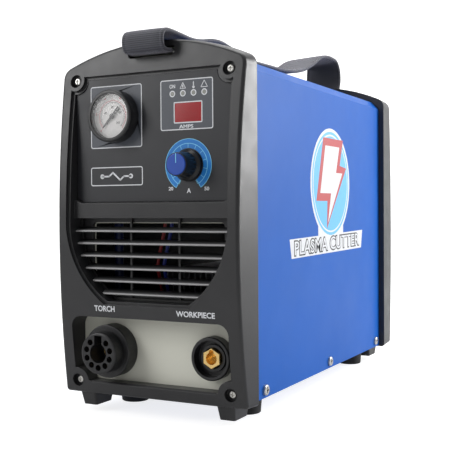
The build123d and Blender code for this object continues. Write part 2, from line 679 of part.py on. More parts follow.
def build_front():
    save(make_front_bezel(), "front_bezel")
    save(make_front_grille(), "front_grille")
    save(make_front_plate(), "front_plate")
    for name, inset, near_y, far_y in (("control_panel", 0.15, PANEL_Y + 0.4, PANEL_BACK_Y),
                                       ("panel_overlay", 0.5, PANEL_Y, PANEL_Y + 0.4)):
        with BuildSketch() as outline:
            add(band(upper_recess(-inset), PANEL_LOW_Z, PANEL_HIGH_Z - inset))
            add(crossbar_outline(inset), mode=Mode.SUBTRACT)
        save(panel_sheet(outline.sketch, near_y, far_y, 0.1), name)
    save(make_gauge_case(), "gauge_case")
    with BuildPart() as dial:
        add(rod(GAUGE_BORE_R - 0.1, DIAL_Y - 0.6, DIAL_Y, bore=0.9))
    save(dial.part.moved(at(GAUGE_X, GAUGE_Z)), "gauge_dial")
    save(make_gauge_needle(), "gauge_needle")
    with BuildPart() as lens:
        add(rod(GAUGE_BORE_R - 0.1, -184.2, -183.0))
    save(lens.part.moved(at(GAUGE_X, GAUGE_Z)), "gauge_lens")
    with BuildPart() as stem:
        add(rod(5.0, -158.5, -152.0))
        add(rod(2.6, -152.0, -147.0))
    save(stem.part.moved(at(GAUGE_X, GAUGE_Z)), "gauge_stem")

    with BuildPart() as window:
        with BuildSketch(upright(PANEL_Y + 0.1)):
            with Locations((DISPLAY_X, DISPLAY_Z)):
                RectangleRounded(23.0, 14.4, 0.7)
        extrude(amount=-1.75)
    save(window.part, "display_window")
    with BuildPart() as module:
        with Locations((DISPLAY_X, -168.6, DISPLAY_Z)):
            Box(27.0, 7.0, 19.0)
    save(module.part, "display_module")
    with BuildPart() as leds:
        for x, z in LED_SPOTS:
            with Locations(at(x, z)):
                add(rod(1.5, -174.2, -169.0))
                add(rod(2.0, -172.0, -169.0))
    save(leds.part, "indicator_leds")

    save(make_knob(), "current_knob")
    save(make_knob_cap(), "knob_cap")
    save(make_potentiometer(), "potentiometer")
    with BuildPart() as shaft:
        add(rod(3.0, -187.0, -163.5))
    save(shaft.part.moved(at(KNOB_X, KNOB_Z)), "potentiometer_shaft")

    save(make_torch_nose(), "torch_socket")
    with BuildPart() as barrel:
        add(rod(TORCH_BARREL_R, -177.6, FRONT_PLATE_Y, bore=14.0 + SLIP))
        fillet(barrel.faces().sort_by(Axis.Y)[0].edges().sort_by(SortBy.LENGTH)[-1], 0.8)
    save(barrel.part.moved(at(TORCH_X, SOCKET_Z)), "torch_socket_barrel")
    save(make_torch_contacts(), "torch_contacts")
    save(make_torch_gas_tube(), "torch_gas_tube")
    save(make_work_shell(), "work_socket_shell")
    save(make_work_insert(), "work_socket_insert")
    with BuildPart() as nuts:
        with Locations(at(TORCH_X, SOCKET_Z)):
            add(ring_nut(19.0, 14.0 + SLIP, FRONT_PLATE_Y + PLATE, 5.0))
        with Locations(at(WORK_X, SOCKET_Z)):
            add(ring_nut(13.5, 10.0 + SLIP, FRONT_PLATE_Y + PLATE, 4.0))
    save(nuts.part, "socket_nuts")


# ---- Case -----------------------------------------------------------------------------------
def build_case():
    save(make_cover(), "cover")
    save(make_base_pan(), "base_pan")
    with BuildPart() as feet:
        for x in (-FOOT_X, FOOT_X):
            for y in (FOOT_FRONT_Y, FOOT_REAR_Y):
                add(make_rubber_foot(x, y))
    save(feet.part, "rubber_feet")
    save(make_foot_studs(), "foot_studs")
    save(make_rear_plate(), "rear_plate")
    with BuildPart() as screws:
        for side in (-1, 1):
            for y in SIDE_SCREW_YS:
                with Locations(Location((side * COVER_HALF_W, y, SIDE_SCREW_Z), (0, 0, side * 90))):
                    add(machine_screw(4.2, 2.2, 2.0, 8.0))
    save(screws.part, "side_screws")


# ---- Rear bezel and its fittings ------------------------------------------------------------
REAR_OUTER_Y = REAR_PLATE_Y + PLATE
REAR_SEAT_Y = 174.0


def rear_window(grow=0.0):
    with BuildSketch() as window:
        with Locations((0, 145)):
            RectangleRounded(128 + 2 * grow, 214 + 2 * grow, 12 + grow)
    return window.sketch


def make_rear_bezel():
    outside = beyond_face(REAR_NOSE_Y, REAR_BULGE_R, 1)
    with BuildPart() as inner:
        add(collar(rear_window(2.5), rear_window(), REAR_OUTER_Y, REAR_NOSE_Y + 1))
        for x, z in SCREW_SPOTS:
            with Locations(at(x, z)):
                add(rod(BOSS_R - 2.2, REAR_OUTER_Y, REAR_NOSE_Y))
        add(prism(case_outline(BEZEL_NOSE_HALF_W - 1, BEZEL_BOTTOM_Z, 290.0, 9.5, 3.0),
                  REAR_OUTER_Y, REAR_NOSE_Y + 20), mode=Mode.INTERSECT)
        add(outside, mode=Mode.SUBTRACT)
    with BuildPart() as bezel:
        add(bezel_body(REAR_BEZEL_FRONT_Y, REAR_NOSE_Y, 1, REAR_BULGE_R, REAR_OUTER_Y, REAR_NOSE_PEAK_Z))
        add(inner.part)
        add(prism(rear_window(), REAR_OUTER_Y, REAR_NOSE_Y + 5), mode=Mode.SUBTRACT)
        for sx in (-1, 1):
            add(leg(sx, 156.5))
        for x, z in SCREW_SPOTS:
            with Locations(at(x, z)):
                add(rod(COUNTERBORE_R, REAR_SEAT_Y, 200), mode=Mode.SUBTRACT)
                add(rod(M3_R + SLIP, REAR_OUTER_Y, REAR_SEAT_Y), mode=Mode.SUBTRACT)
        add(strap_slot(170, 195), mode=Mode.SUBTRACT)
    return bezel.part


def make_fan_frame():
    """Square frame with a round duct, four struts and a motor mount."""
    near_y = REAR_PLATE_Y - FAN_DEPTH
    with BuildPart() as frame:
        with BuildSketch(upright(near_y)):
            RectangleRounded(FAN_SIZE, FAN_SIZE, 5)
            Circle(57.0, mode=Mode.SUBTRACT)
            with GridLocations(105, 105, 2, 2):
                Circle(2.0 + SLIP, mode=Mode.SUBTRACT)
        extrude(amount=-FAN_DEPTH)
        with BuildSketch(upright(near_y)):
            Circle(19.0)
            Rectangle(3.0, 116)
            Rectangle(116, 3.0)
            Circle(2.06, mode=Mode.SUBTRACT)
        extrude(amount=-3.0)
    return frame.part.moved(at(0, FAN_Z))


def make_fan_rotor():
    """Hub with seven pitched blades on a 2 mm radius shaft."""
    with BuildPart() as rotor:
        add(rod(20.0, 141.6, 160.0))
        fillet(rotor.faces().sort_by(Axis.Y)[-1].edges(), 2.0)
        add(rod(2.0, 138.4, 142.0))
        for i in range(7):
            outward = Vector(1, 0, 0).rotate(Axis.Y, 360 / 7 * i)
            tip_plane = Plane(origin=outward * 18.5 + Vector(0, 151, 0), x_dir=(0, 1, 0), z_dir=outward)
            with BuildSketch(tip_plane):
                Rectangle(22.0, 1.8, rotation=48)
            extrude(amount=37.0)
    return rotor.part.moved(at(0, FAN_Z))


def make_fan_guard():
    with BuildPart() as guard:
        with BuildSketch(upright(REAR_OUTER_Y + 2.0)):
            for radius in (12, 22, 32, 42, 52, 57):
                Circle(radius + 1.0)
                Circle(radius - 1.0, mode=Mode.SUBTRACT)
        extrude(amount=-2.2)
        with BuildSketch(upright(REAR_OUTER_Y)):
            Rectangle(2.4, 145, rotation=45)
            Rectangle(2.4, 145, rotation=-45)
            Circle(11.0, mode=Mode.SUBTRACT)
            with GridLocations(105, 105, 2, 2):
                Circle(4.2)
            with GridLocations(105, 105, 2, 2):
                Circle(2.0 + SLIP, mode=Mode.SUBTRACT)
        extrude(amount=-2.4)
    return guard.part.moved(at(0, FAN_Z))


def make_switch_housing():
    """Panel rocker-switch housing, open at the rear, with pivot holes in its cheeks."""
    with BuildPart() as housing:
        with BuildSketch(upright(142.0)):
            Rectangle(22.0, 28.0)
        extrude(amount=-(REAR_OUTER_Y - 142.0))
        with BuildSketch(upright(REAR_OUTER_Y)):
            RectangleRounded(27.0, 33.0, 2.0)
        extrude(amount=-2.2)
        with BuildSketch(upright(150.0)):
            Rectangle(16.6, 24.8)
        extrude(amount=-30.0, mode=Mode.SUBTRACT)
        with BuildSketch(Plane.YZ):
            with Locations((158.0, 0)):
                Circle(1.26)
        extrude(amount=10.4, both=True, mode=Mode.SUBTRACT)
        for z in (-8.0, 8.0):
            with Locations((0, 138.0, z)):
                Box(6.3, 8.0, 0.8)
    return housing.part.moved(at(SWITCH_X, SWITCH_Z))


def make_switch_rocker():
    """Rocker at rest in its off position, ten degrees back from level."""
    with BuildPart() as rocker:
        with BuildSketch(Plane.YZ):
            with BuildLine():
                Polyline((8.2, 0), (10.0, 10.4), (4.0, 10.0), (-5.0, 4.0),
                         (-5.0, -4.0), (4.0, -10.0), (10.0, -10.4), close=True)
            make_face()
        extrude(amount=8.0, both=True)
        with BuildSketch(Plane.YZ):
            Circle(1.2)
        extrude(amount=10.0, both=True)
    return rocker.part.rotate(Axis.X, -10).moved(Location((SWITCH_X, 158.0, SWITCH_Z)))


def turned(points, x, z):
    """Solid of revolution about the Y direction through (x, z); points are (y, radius)."""
    with BuildPart() as piece:
        with BuildSketch(Plane.YZ):
            with BuildLine():
                Polyline(*points, close=True)
            make_face()
        revolve(axis=Axis.Y)
    return piece.part.moved(at(x, z))


def make_gland():
    """Cable gland: threaded stem, hexagon and a domed compression nut with a 9 mm bore."""
    bore = 4.5
    outer = REAR_OUTER_Y
    with BuildPart() as gland:
        add(turned([(152, bore), (152, 10.0), (outer, 10.0), (outer + 6, 10.0), (outer + 6, 11.5),
                    (outer + 13, 11.5), (outer + 18, 8.0), (outer + 18, bore)], 0, 0))
        with BuildSketch(upright(outer)):
            RegularPolygon(13.0, 6)
            Circle(9.0, mode=Mode.SUBTRACT)
        extrude(amount=-6.0)
    return gland.part.moved(at(GLAND_X, GLAND_Z))


def make_air_inlet():
    """Brass bulkhead fitting with a quick-coupler plug outside and a hose barb inside."""
    bore, outer = 2.5, REAR_OUTER_Y
    with BuildPart() as inlet:
        add(turned([(143, bore), (143, 3.4), (147, 4.4), (147, 3.6), (150, 4.4), (150, 6.5),
                    (outer, 6.5), (outer + 7, 6.5), (outer + 7, 4.0), (outer + 12, 4.0),
                    (outer + 13.5, 5.8), (outer + 15.5, 5.8), (outer + 17, 4.0), (outer + 23, 4.0),
                    (outer + 23, bore)], 0, 0))
        with BuildSketch(upright(outer)):
            RegularPolygon(9.8, 6)
            Circle(5.0, mode=Mode.SUBTRACT)
        extrude(amount=-6.0)
    return inlet.part.moved(at(INLET_X, INLET_Z))


def make_regulator():
    """Regulator body with a threaded neck through the rear plate and a spindle for its knob."""
    with BuildPart() as body:
        with Locations((0, 131, 0)):
            Box(40, 46, 40)
        fillet(body.edges().filter_by(Axis.Y), 4)
        add(rod(13.0, 154, 167.4))
        add(rod(5.0, 167.4, 184.0))
        with Locations((0, 122, -20)):
            Cylinder(13, 26, align=(Align.CENTER, Align.CENTER, Align.MAX))
    return body.part.moved(at(REGULATOR_X, REGULATOR_Z))


def make_regulator_knob():
    """Ribbed cap knob over the regulator's spindle."""
    with BuildPart() as knob:
        add(rod(14.0, 171.2, 187.0))
        fillet(knob.faces().sort_by(Axis.Y)[-1].edges(), 2.0)
        with BuildSketch(upright(171.2)):
            with PolarLocations(14.3, 16):
                Circle(0.9)
        extrude(amount=-13.0, mode=Mode.SUBTRACT)
        add(rod(5.06, 170, 184.2), mode=Mode.SUBTRACT)
    return knob.part.moved(at(REGULATOR_X, REGULATOR_Z))


def make_strap():
    """Flat webbing carry strap: from the front slot, over the cover and up to its rear loop."""
    path_points = [(-169.5, 284.0), (-184.6, 284.0), (-184.6, 299.2), (-140.0, 297.4),
                   (-98.0, 303.4), (-40.0, 295.6), (70.0, 295.2), (130.0, 321.4), (152.0, 328.4),
                   (190.9, 328.4), (190.9, 284.0), (178.0, 284.0)]
    bends = [6.8, 7.2, 60.0, 90.0, 120.0, 60.0, 50.0, 11.0, 11.0, 6.0]
    with BuildPart() as strap:
        with BuildLine(Plane.YZ) as path:
            FilletPolyline(*path_points, radius=bends)
        start = path.line
        with BuildSketch(Plane(origin=start @ 0, x_dir=(1, 0, 0), z_dir=start % 0)):
            Rectangle(STRAP_W, STRAP_T)
        sweep(path=start)
    return strap.part


def build_rear():
    save(make_rear_bezel(), "rear_bezel")
    with BuildPart() as screws:
        for x, z in SCREW_SPOTS:
            with Locations(Location((x, FRONT_SEAT_Y, z)), Location((x, REAR_SEAT_Y, z), (0, 0, 180))):
                add(machine_screw(2.9, 2.2, M3_R, 14.0))
    save(screws.part, "bezel_screws")
    save(make_fan_frame(), "fan_frame")
    save(make_fan_rotor(), "fan_rotor")
    save(make_fan_guard(), "fan_guard")
    with BuildPart() as screws:
        for sx in (-52.5, 52.5):
            for sz in (-52.5, 52.5):
                with Locations(Location((sx, REAR_OUTER_Y + 2.4, FAN_Z + sz), (0, 0, 180))):
                    add(machine_screw(3.6, 2.2, 2.0, 22.0))
    save(screws.part, "fan_screws")
    save(make_switch_housing(), "power_switch")
    save(make_switch_rocker(), "power_switch_rocker")
    save(make_gland(), "cable_gland")
    save(make_air_inlet(), "air_inlet")
    with BuildPart() as nuts:
        with Locations(at(GLAND_X, GLAND_Z)):
            add(ring_nut(14.0, 10.0 + SLIP, REAR_PLATE_Y - 4.0, 4.0))
        with Locations(at(INLET_X, INLET_Z)):
            add(ring_nut(10.0, 6.5 + SLIP, REAR_PLATE_Y - 4.0, 4.0))
    save(nuts.part, "rear_nuts")
    save(make_regulator(), "regulator")
    save(make_regulator_knob(), "regulator_knob")
    save(make_strap(), "carry_strap")
    with BuildPart() as bars:
        for y in (-167.5, 175.9):
            with Locations(Location((0, y, STRAP_SLOT_Z), (0, 90, 0))):
                Cylinder(2.0, 50.0)
    save(bars.part, "strap_bars")


# ---- Inside ---------------------------------------------------------------------------------
BOARD_Z, BOARD_T, BOARD_MID_Y = 44.0, 1.6, -15.0
BOARD_TOP_Z = BOARD_Z + BOARD_T


def tube(points, bends, radius):
    """Hose or lead: straight runs joined by tangent arcs."""
    with BuildPart() as piece:
        with BuildLine() as path:
            if bends:
                FilletPolyline(*points, radius=bends)
            else:
                Line(*points)
        route = path.line
        with BuildSketch(Plane(origin=route @ 0, z_dir=route % 0)):
            Circle(radius)
        sweep(path=route)
    return piece.part


def make_heat_sinks():
    with BuildPart() as sinks:
        for x in (-35, 35):
            with Locations((x, 5, 66)):
                Box(54, 110, 8)
            with Locations((x, 5, 89)):
                with GridLocations(5.8, 1, 10, 1):
                    Box(1.6, 110, 40)
    return sinks.part


def build_inside():
    with BuildPart() as board:
        with Locations((0, BOARD_MID_Y, BOARD_Z + BOARD_T / 2)):
            Box(136, 170, BOARD_T)
            with GridLocations(124, 158, 2, 2):
                Cylinder(1.7 + SLIP, 5, mode=Mode.SUBTRACT)
    save(board.part, "power_board")
    with BuildPart() as pillars:
        with Locations((0, BOARD_MID_Y, PAN_TOP_Z)):
            with GridLocations(124, 158, 2, 2):
                Cylinder(3.0, BOARD_Z - PAN_TOP_Z, align=(Align.CENTER, Align.CENTER, Align.MIN))
                Cylinder(1.7, BOARD_TOP_Z - PAN_TOP_Z + 1.5,
                         align=(Align.CENTER, Align.CENTER, Align.MIN))
        for x in (2, 58):
            for z in (178, 256):
                with Locations(at(x, z)):
                    add(rod(2.6, -172.1, -161.5))
        with Locations((WORK_X, -94, (BOARD_TOP_Z + 60) / 2)):
            Box(14, 8, 60 - BOARD_TOP_Z)
    save(pillars.part, "board_posts")
    save(make_heat_sinks(), "heat_sinks")
    with BuildPart() as switches:
        for x in (-35, 35):
            with Locations((x, 5, (BOARD_TOP_Z + 62) / 2)):
                with GridLocations(26, 26, 2, 4):
                    Box(16, 6, 62 - BOARD_TOP_Z)
    save(switches.part, "power_transistors")
    with BuildPart() as cans:
        with Locations((0, -72, BOARD_TOP_Z)):
            with GridLocations(31, 1, 4, 1):
                Cylinder(12.0, 42, align=(Align.CENTER, Align.CENTER, Align.MIN))
        fillet(cans.edges().group_by(Axis.Z)[-1], 1.2)
    save(cans.part, "capacitors")
    with BuildPart() as core:
        with Locations((-36, 100, 50)):
            Box(60, 42, 60)
            Box(41, 43, 36, mode=Mode.SUBTRACT)
            Box(12, 20, 36)
    save(core.part, "transformer_core")
    with BuildPart() as winding:
        with BuildSketch(Plane.XY.offset(33)):
            with Locations((-36, 100)):
                RectangleRounded(40, 52, 8)
                Rectangle(12.2, 20.2, mode=Mode.SUBTRACT)
        extrude(amount=34)
    save(winding.part, "transformer_winding")
    with BuildPart() as choke:
        with BuildSketch(Plane.XY.offset(PAN_TOP_Z)):
            with Locations((40, 100)):
                Circle(27)
                Circle(11, mode=Mode.SUBTRACT)
        extrude(amount=32)
        fillet(choke.edges().filter_by(GeomType.CIRCLE), 5)
    save(choke.part, "output_choke")
    with BuildPart() as control:
        with Locations((30, -160.7, 217)):
            Box(64, 1.6, 86)
        with Locations((30, -157.9, 240)):
            Box(14, 4, 14)
        with Locations((8, -156.9, 178.5)):
            Box(20, 6, 9)
    save(control.part, "control_board")
    with BuildPart() as valve:
        with Locations((TORCH_X, -123, SOCKET_Z)):
            Box(24, 28, 24)
        add(rod(5.0, -141, -136).moved(at(TORCH_X, SOCKET_Z)))
    save(valve.part, "valve_body")
    with BuildPart() as coil:
        with Locations((TORCH_X, -123, SOCKET_Z + 12)):
            Box(26, 26, 30, align=(Align.CENTER, Align.CENTER, Align.MIN))
    save(coil.part, "valve_coil")

    hose_z = REGULATOR_Z
    with BuildPart() as hoses:
        add(tube([(INLET_X, 143, hose_z), (INLET_X, 80, hose_z), (-18, 80, hose_z),
                  (-18, 108, hose_z)], [24.0, 20.0], 4.0))
        add(tube([(-50, 136, hose_z), (-66, 136, hose_z), (-66, -122, hose_z), (-66, -122, 51),
                  (-53.5, -122, 51)], [12.0, 25.0, 9.0], 4.0))
        add(tube([(GAUGE_X, -147, GAUGE_Z), (GAUGE_X, -100, GAUGE_Z), (GAUGE_X, -100, hose_z),
                  (-62, -100, hose_z)], [16.0, 12.0], 2.0))
    save(hoses.part, "air_hoses")
    save(tube([(WORK_X, -142, SOCKET_Z), (WORK_X, -98, SOCKET_Z)], [], 4.0), "work_lead")
    for name, x in (("red_lead", 2.0), ("blue_lead", 8.0)):
        save(tube([(x, -157, 174), (x, -157, 150), (x - 12, -150, 118), (x - 14, -136, 84),
                   (x - 14, -106, 66), (x - 14, -106, BOARD_TOP_Z)], [12.0, 20.0, 18.0, 12.0], 1.4), name)


build_front()
build_case()
build_rear()
build_inside()
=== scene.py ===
"""Looks of the plasma cutter unit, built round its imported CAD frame.

The frame is in metres, with the unit's front towards -Y and up along +Z. Sizes in mm are turned into
metres by MM where they are used.
"""
import math

import bmesh
import bpy
from mathutils import Matrix, Vector


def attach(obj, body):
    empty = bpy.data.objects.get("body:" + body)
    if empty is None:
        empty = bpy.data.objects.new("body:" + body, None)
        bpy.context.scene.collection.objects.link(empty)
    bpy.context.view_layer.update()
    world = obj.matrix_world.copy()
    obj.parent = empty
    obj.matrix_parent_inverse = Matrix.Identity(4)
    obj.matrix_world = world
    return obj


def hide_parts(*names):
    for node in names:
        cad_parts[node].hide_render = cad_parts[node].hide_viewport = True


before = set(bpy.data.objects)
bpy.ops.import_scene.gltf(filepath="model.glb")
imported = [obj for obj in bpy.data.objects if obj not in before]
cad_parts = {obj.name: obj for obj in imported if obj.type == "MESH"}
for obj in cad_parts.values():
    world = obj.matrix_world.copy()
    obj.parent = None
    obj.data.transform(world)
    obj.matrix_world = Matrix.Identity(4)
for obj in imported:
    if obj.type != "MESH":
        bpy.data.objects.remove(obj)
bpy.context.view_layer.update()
MM = 0.001
CASE = "case"

# ---- Sizes: metres and degrees for the camera and the stage, mm for everything on the unit ----------
CAMERA_PLACE = (0.3597, -0.7429, 0.1635)
CAMERA_TURN = (88.9, 0.38, 27.48)
CAMERA_LENS, CAMERA_SENSOR = 69.62, 36.0  # mm

# Floor and backdrop: (y, z) runs from the front edge, over a quarter circle, up to the top.
SWEEP_FRONT_Y, SWEEP_BEND_Y, SWEEP_BEND_R, SWEEP_TOP_Z = -4.0, 1.6, 1.2, 4.0
SWEEP_SIDES = (-5.0, 4.0)
# The sweep glows by SWEEP_GLOW, and by SWEEP_SEEN_GLOW more where it is seen directly.
SWEEP_GLOW, SWEEP_SEEN_GLOW = 0.2, 0.6

# name: place, point lit, size, watts
LIGHTS = {
    "right": ((0.93, 0.78, 0.55), (0.08, -0.05, 0.2), (0.42, 0.7), 16.0),
    "overhead": ((-0.1, 0.1, 1.5), (0.0, 0.0, 0.2), (1.2, 1.0), 13.0),
    "front_left": ((-0.9, -1.1, 0.8), (0.0, -0.15, 0.15), (0.7, 0.9), 10.5),
    "backdrop_wash": ((-0.3, 1.5, 2.3), (-0.3, 2.8, 1.2), (1.8, 0.8), 70.0),
}
WORLD_LIGHT = 0.35

# The front bezel's face is part of a cylinder about a sideways axis.
BULGE_R, BULGE_Z, BULGE_NOSE_Y = 757.0, 143.0, -186.2
# The louvres run from a painted highlight at their lips, given first as a y, to painted shade this many mm
# behind them, given second.
GRILLE_LIP_Y, SHADED_DEPTH = -178.0, 10.0
# The outside of the cover's right side, and the height that its inner faces look towards; those faces get
# painted shade.
COVER_SIDE_X, COVER_MIDDLE_Z = 78.4, 150.0

# Flat faces that carry print, by their y
PANEL_Y, DIAL_Y, KNOB_FACE_Y = -174.0, -179.5, -192.6

# Centres and boxes on the panel, as (x, z)
GAUGE = (-31.6, 235.8)
KNOB = (32.9, 196.1)
DISPLAY = (33.0, 236.0)
LED_PITCH, LED_MIDDLE_X, LED_Z = 9.2, 33.3, 250.4
LEDS = [(LED_MIDDLE_X + (i - 1.5) * LED_PITCH, LED_Z) for i in range(4)]
GAUGE_BOX = ((-56.3, 211.5), (-8.0, 260.6))
DISPLAY_BOX = ((8.9, 222.8), (54.5, 261.0))
NAME_BOX = ((-56.6, 181.8), (-7.7, 196.6))
BOX_LINE = 0.75
SYMBOL_Z = 256.0

# Words over the sockets: place, height, width
LEGENDS = [("TORCH", (-37.8, 85.7), 4.6, 19.2), ("WORKPIECE", (43.6, 84.9), 4.4, 33.0)]

# Scale round the current knob: degrees run counterclockwise from the right.
BAND_OUTER_R, BAND_INNER_R, BAND_TICK_R, BAND_EDGE_R = 19.8, 12.9, 16.7, 20.1
BAND_START, BAND_END = -57.5, 237.5
KNOB_TRAVEL, KNOB_TICKS = 300, 13

# The gauge's two scales run clockwise through GAUGE_TRAVEL degrees, evenly about the top.
GAUGE_TRAVEL = 270
GAUGE_OPENING_R = 19.6
BAR_R, BAR_TICKS, BAR_FIGURES = 12.3, 51, ("0", "2", "4", "6", "8", "10")
PSI_R, PSI_TICKS, PSI_FIGURES = 11.2, 41, ("0", "40", "80", "120", "160")
HAIRLINE = 0.25

# Badge on the right side, as (y, z)
BADGE = (8.0, 185.5)
BADGE_R, BADGE_RING_R, BADGE_FIELD_R = 50.0, (47.0, 44.5), 43.0
BOLT = [(-14, 34), (22, 34), (13, 10), (30, 10), (-8, -36), (0, -9), (-27, -9)]
BOLT_OUTLINE = 7.0
BADGE_STRIP = [(-88, 137.5), (-24, 138.7), (-24, 148), (40, 148), (40, 139.9), (96, 141.0),
               (92, 123.5), (-84, 121.5)]
BADGE_WORDS, BADGE_WORDS_AT, BADGE_WORDS_TURN = "PLASMA CUTTER", (4.0, 131.0), 0.9

# Middle line of the strap, as (y, z), from under the front bezel to under the rear one
STRAP_ROUTE = [
    (-171, 284.2), (-178.5, 283.9), (-182.8, 284.9), (-184.6, 288.2), (-184.9, 292.3), (-183.4, 296.2),
    (-178.8, 298.6), (-170, 298.9), (-157, 298.4), (-138, 297.7), (-121, 299.6), (-105, 302.6),
    (-90, 303.5), (-74, 301.8), (-52, 298.2), (-29, 296.4), (5, 297.0), (35, 297.8),
    (58, 299.6), (76, 301.8), (95, 306.2), (113, 313.4), (131, 321.0), (146, 325.8),
    (162, 328.0), (177, 328.2), (187.5, 327.0), (193.0, 322.5), (194.8, 314.5), (194.4, 306.0),
    (191.6, 299.0), (188.0, 293.0), (184.0, 287.0), (175, 284.2)]
# Half of its section, from one edge to the middle: distance from the middle, half thickness
STRAP_HALF = [(18.5, 0.0), (18.3, 0.9), (17.5, 1.45), (16.3, 1.6), (15.5, 1.2), (14.7, 1.6), (10.0, 1.68),
              (5.0, 1.7), (0.0, 1.7)]
STRAP_STEP = 1.5
# The strap sways to the sides by up to STRAP_SWAY, in two waves given in radians per mm.
STRAP_SWAY, STRAP_WAVES = 0.35, (0.05, 0.017)

# The strap twists where it rises at the rear, and its rear leg stands at an angle.
STRAP_REAR_Y, STRAP_REAR_BLEND = 110, 12
STRAP_LEG_Z, STRAP_LEG_BLEND = 322, 3
STRAP_ROLL, STRAP_YAW = 0.09, 0.30
RIB_PITCH, THREAD_PITCH = 1.3, 0.9


# ---- Camera -------------------------------------------------------------------------------------
def make_camera():
    """The view from the right of the front, a little over half the unit's height."""
    data = bpy.data.cameras.new("camera")
    data.sensor_width = CAMERA_SENSOR
    data.lens = CAMERA_LENS
    data.clip_start, data.clip_end = 0.05, 50.0
    camera = bpy.data.objects.new("camera", data)
    camera.location = CAMERA_PLACE
    camera.rotation_euler = [math.radians(a) for a in CAMERA_TURN]
    bpy.context.scene.collection.objects.link(camera)
    bpy.context.scene.camera = camera


# ---- Materials ----------------------------------------------------------------------------------
class Shader:
    """A Principled material with helpers for procedural detail in object space.

    Noise scales are per metre, and bump distances and edge radii are in metres.
    """

    def __init__(self, name, color, roughness, metallic=0.0, **inputs):
        self.mat = bpy.data.materials.new(name)
        self.mat.use_nodes = True
        self.tree = self.mat.node_tree
        self.bsdf = self.tree.nodes["Principled BSDF"]
        self.color, self.roughness = color, roughness
        self.bsdf.inputs["Base Color"].default_value = (*color, 1.0)
        self.bsdf.inputs["Roughness"].default_value = roughness
        self.bsdf.inputs["Metallic"].default_value = metallic
        for key, value in inputs.items():
            self.bsdf.inputs[key.replace("_", " ")].default_value = value
        self.coords = self.node("ShaderNodeTexCoord").outputs["Object"]

    def node(self, kind, **props):
        made = self.tree.nodes.new(kind)
        for key, value in props.items():
            setattr(made, key, value)
        return made

    def link(self, source, target):
        self.tree.links.new(source, target)

    def stretched(self, scale):
        """Object coordinates scaled by a different number along each axis."""
        mapping = self.node("ShaderNodeMapping")
        mapping.inputs["Scale"].default_value = scale
        self.link(self.coords, mapping.inputs["Vector"])
        return mapping.outputs["Vector"]

    def noise(self, scale, detail=3.0, rough=0.55, vector=None):
        made = self.node("ShaderNodeTexNoise")
        made.inputs["Scale"].default_value = scale
        made.inputs["Detail"].default_value = detail
        made.inputs["Roughness"].default_value = rough
        self.link(vector or self.coords, made.inputs["Vector"])
        return made.outputs["Fac"]

    def ramp(self, fac, stops):
        """Colours, or greys given as single numbers, blended between places from 0 to 1."""
        made = self.node("ShaderNodeValToRGB")
        points = made.color_ramp.elements
        while len(points) < len(stops):
            points.new(0.5)
        for point, (place, value) in zip(points, stops):
            point.position = place
            point.color = (*value, 1.0) if hasattr(value, "__len__") else (value, value, value, 1.0)
        self.link(fac, made.inputs["Fac"])
        return made.outputs["Color"]

    def math(self, operation, a, b=0.5):
        made = self.node("ShaderNodeMath", operation=operation)
        for socket, value in zip(made.inputs, (a, b)):
            if isinstance(value, (int, float)):
                socket.default_value = value
            else:
                self.link(value, socket)
        return made.outputs["Value"]

    def mottle(self, scale, amount, vector=None):
        """Slow change of lightness over the surface."""
        low = tuple(c * (1 - amount) for c in self.color)
        high = tuple(min(1.0, c * (1 + amount)) for c in self.color)
        self.link(self.ramp(self.noise(scale, vector=vector), [(0.3, low), (0.7, high)]),
                  self.bsdf.inputs["Base Color"])
        return self

    def gloss(self, scale, amount, vector=None):
        """Roughness that changes over the surface, as from handling and dust."""
        low, high = self.roughness - amount, self.roughness + amount
        self.link(self.ramp(self.noise(scale, 4.0, vector=vector), [(0.3, low), (0.7, high)]),
                  self.bsdf.inputs["Roughness"])
        return self

    def relief(self, height, distance, strength=1.0):
        """Bumps of the given height. It comes before soft_edges, which feeds it."""
        bump = self.node("ShaderNodeBump")
        bump.inputs["Strength"].default_value = strength
        bump.inputs["Distance"].default_value = distance
        self.link(height, bump.inputs["Height"])
        self.link(bump.outputs["Normal"], self.bsdf.inputs["Normal"])
        self.bump = bump
        return self

    def soft_edges(self, radius):
        """Edges rounded in shading, as moulded and bent edges are."""
        bevel = self.node("ShaderNodeBevel", samples=4)
        bevel.inputs["Radius"].default_value = radius
        self.link(bevel.outputs["Normal"], self.bump.inputs["Normal"])
        return self

    def worn_edges(self, color, radius, amount=0.5):
        """Edges rubbed lighter: the bevelled normal is compared with the true one."""
        bevel = self.node("ShaderNodeBevel", samples=4)
        bevel.inputs["Radius"].default_value = radius
        geometry = self.node("ShaderNodeNewGeometry")
        dot = self.node("ShaderNodeVectorMath", operation="DOT_PRODUCT")
        self.link(bevel.outputs["Normal"], dot.inputs[0])
        self.link(geometry.outputs["Normal"], dot.inputs[1])
        edge = self.ramp(dot.outputs["Value"], [(0.80, amount), (0.99, 0.0)])
        broken = self.math("MULTIPLY", edge, self.noise(900, 3.0))
        mix = self.node("ShaderNodeMix", data_type="RGBA")
        self.link(broken, mix.inputs["Factor"])
        base = self.bsdf.inputs["Base Color"]
        self.link(base.links[0].from_socket, mix.inputs["A"])
        mix.inputs["B"].default_value = (*color, 1.0)
        self.link(mix.outputs["Result"], base)
        return self


def srgb(r, g, b):
    """Linear colour of an 8-bit display colour."""
    return tuple(((c / 255 + 0.055) / 1.055) ** 2.4 if c > 10 else c / 3294.6 for c in (r, g, b))


def moulded(name, color, rough=0.5, grain=0.00002, **inputs):
    """Plastic or rubber: fine moulding grain and rounded edges."""
    s = Shader(name, color, rough, **inputs)
    s.mottle(40, 0.10).gloss(60, 0.05)
    fine = s.math("ADD", s.noise(2600, 2.0), s.math("MULTIPLY", s.noise(7000, 1.0), 0.5))
    s.relief(fine, grain).soft_edges(0.0005)
    return s


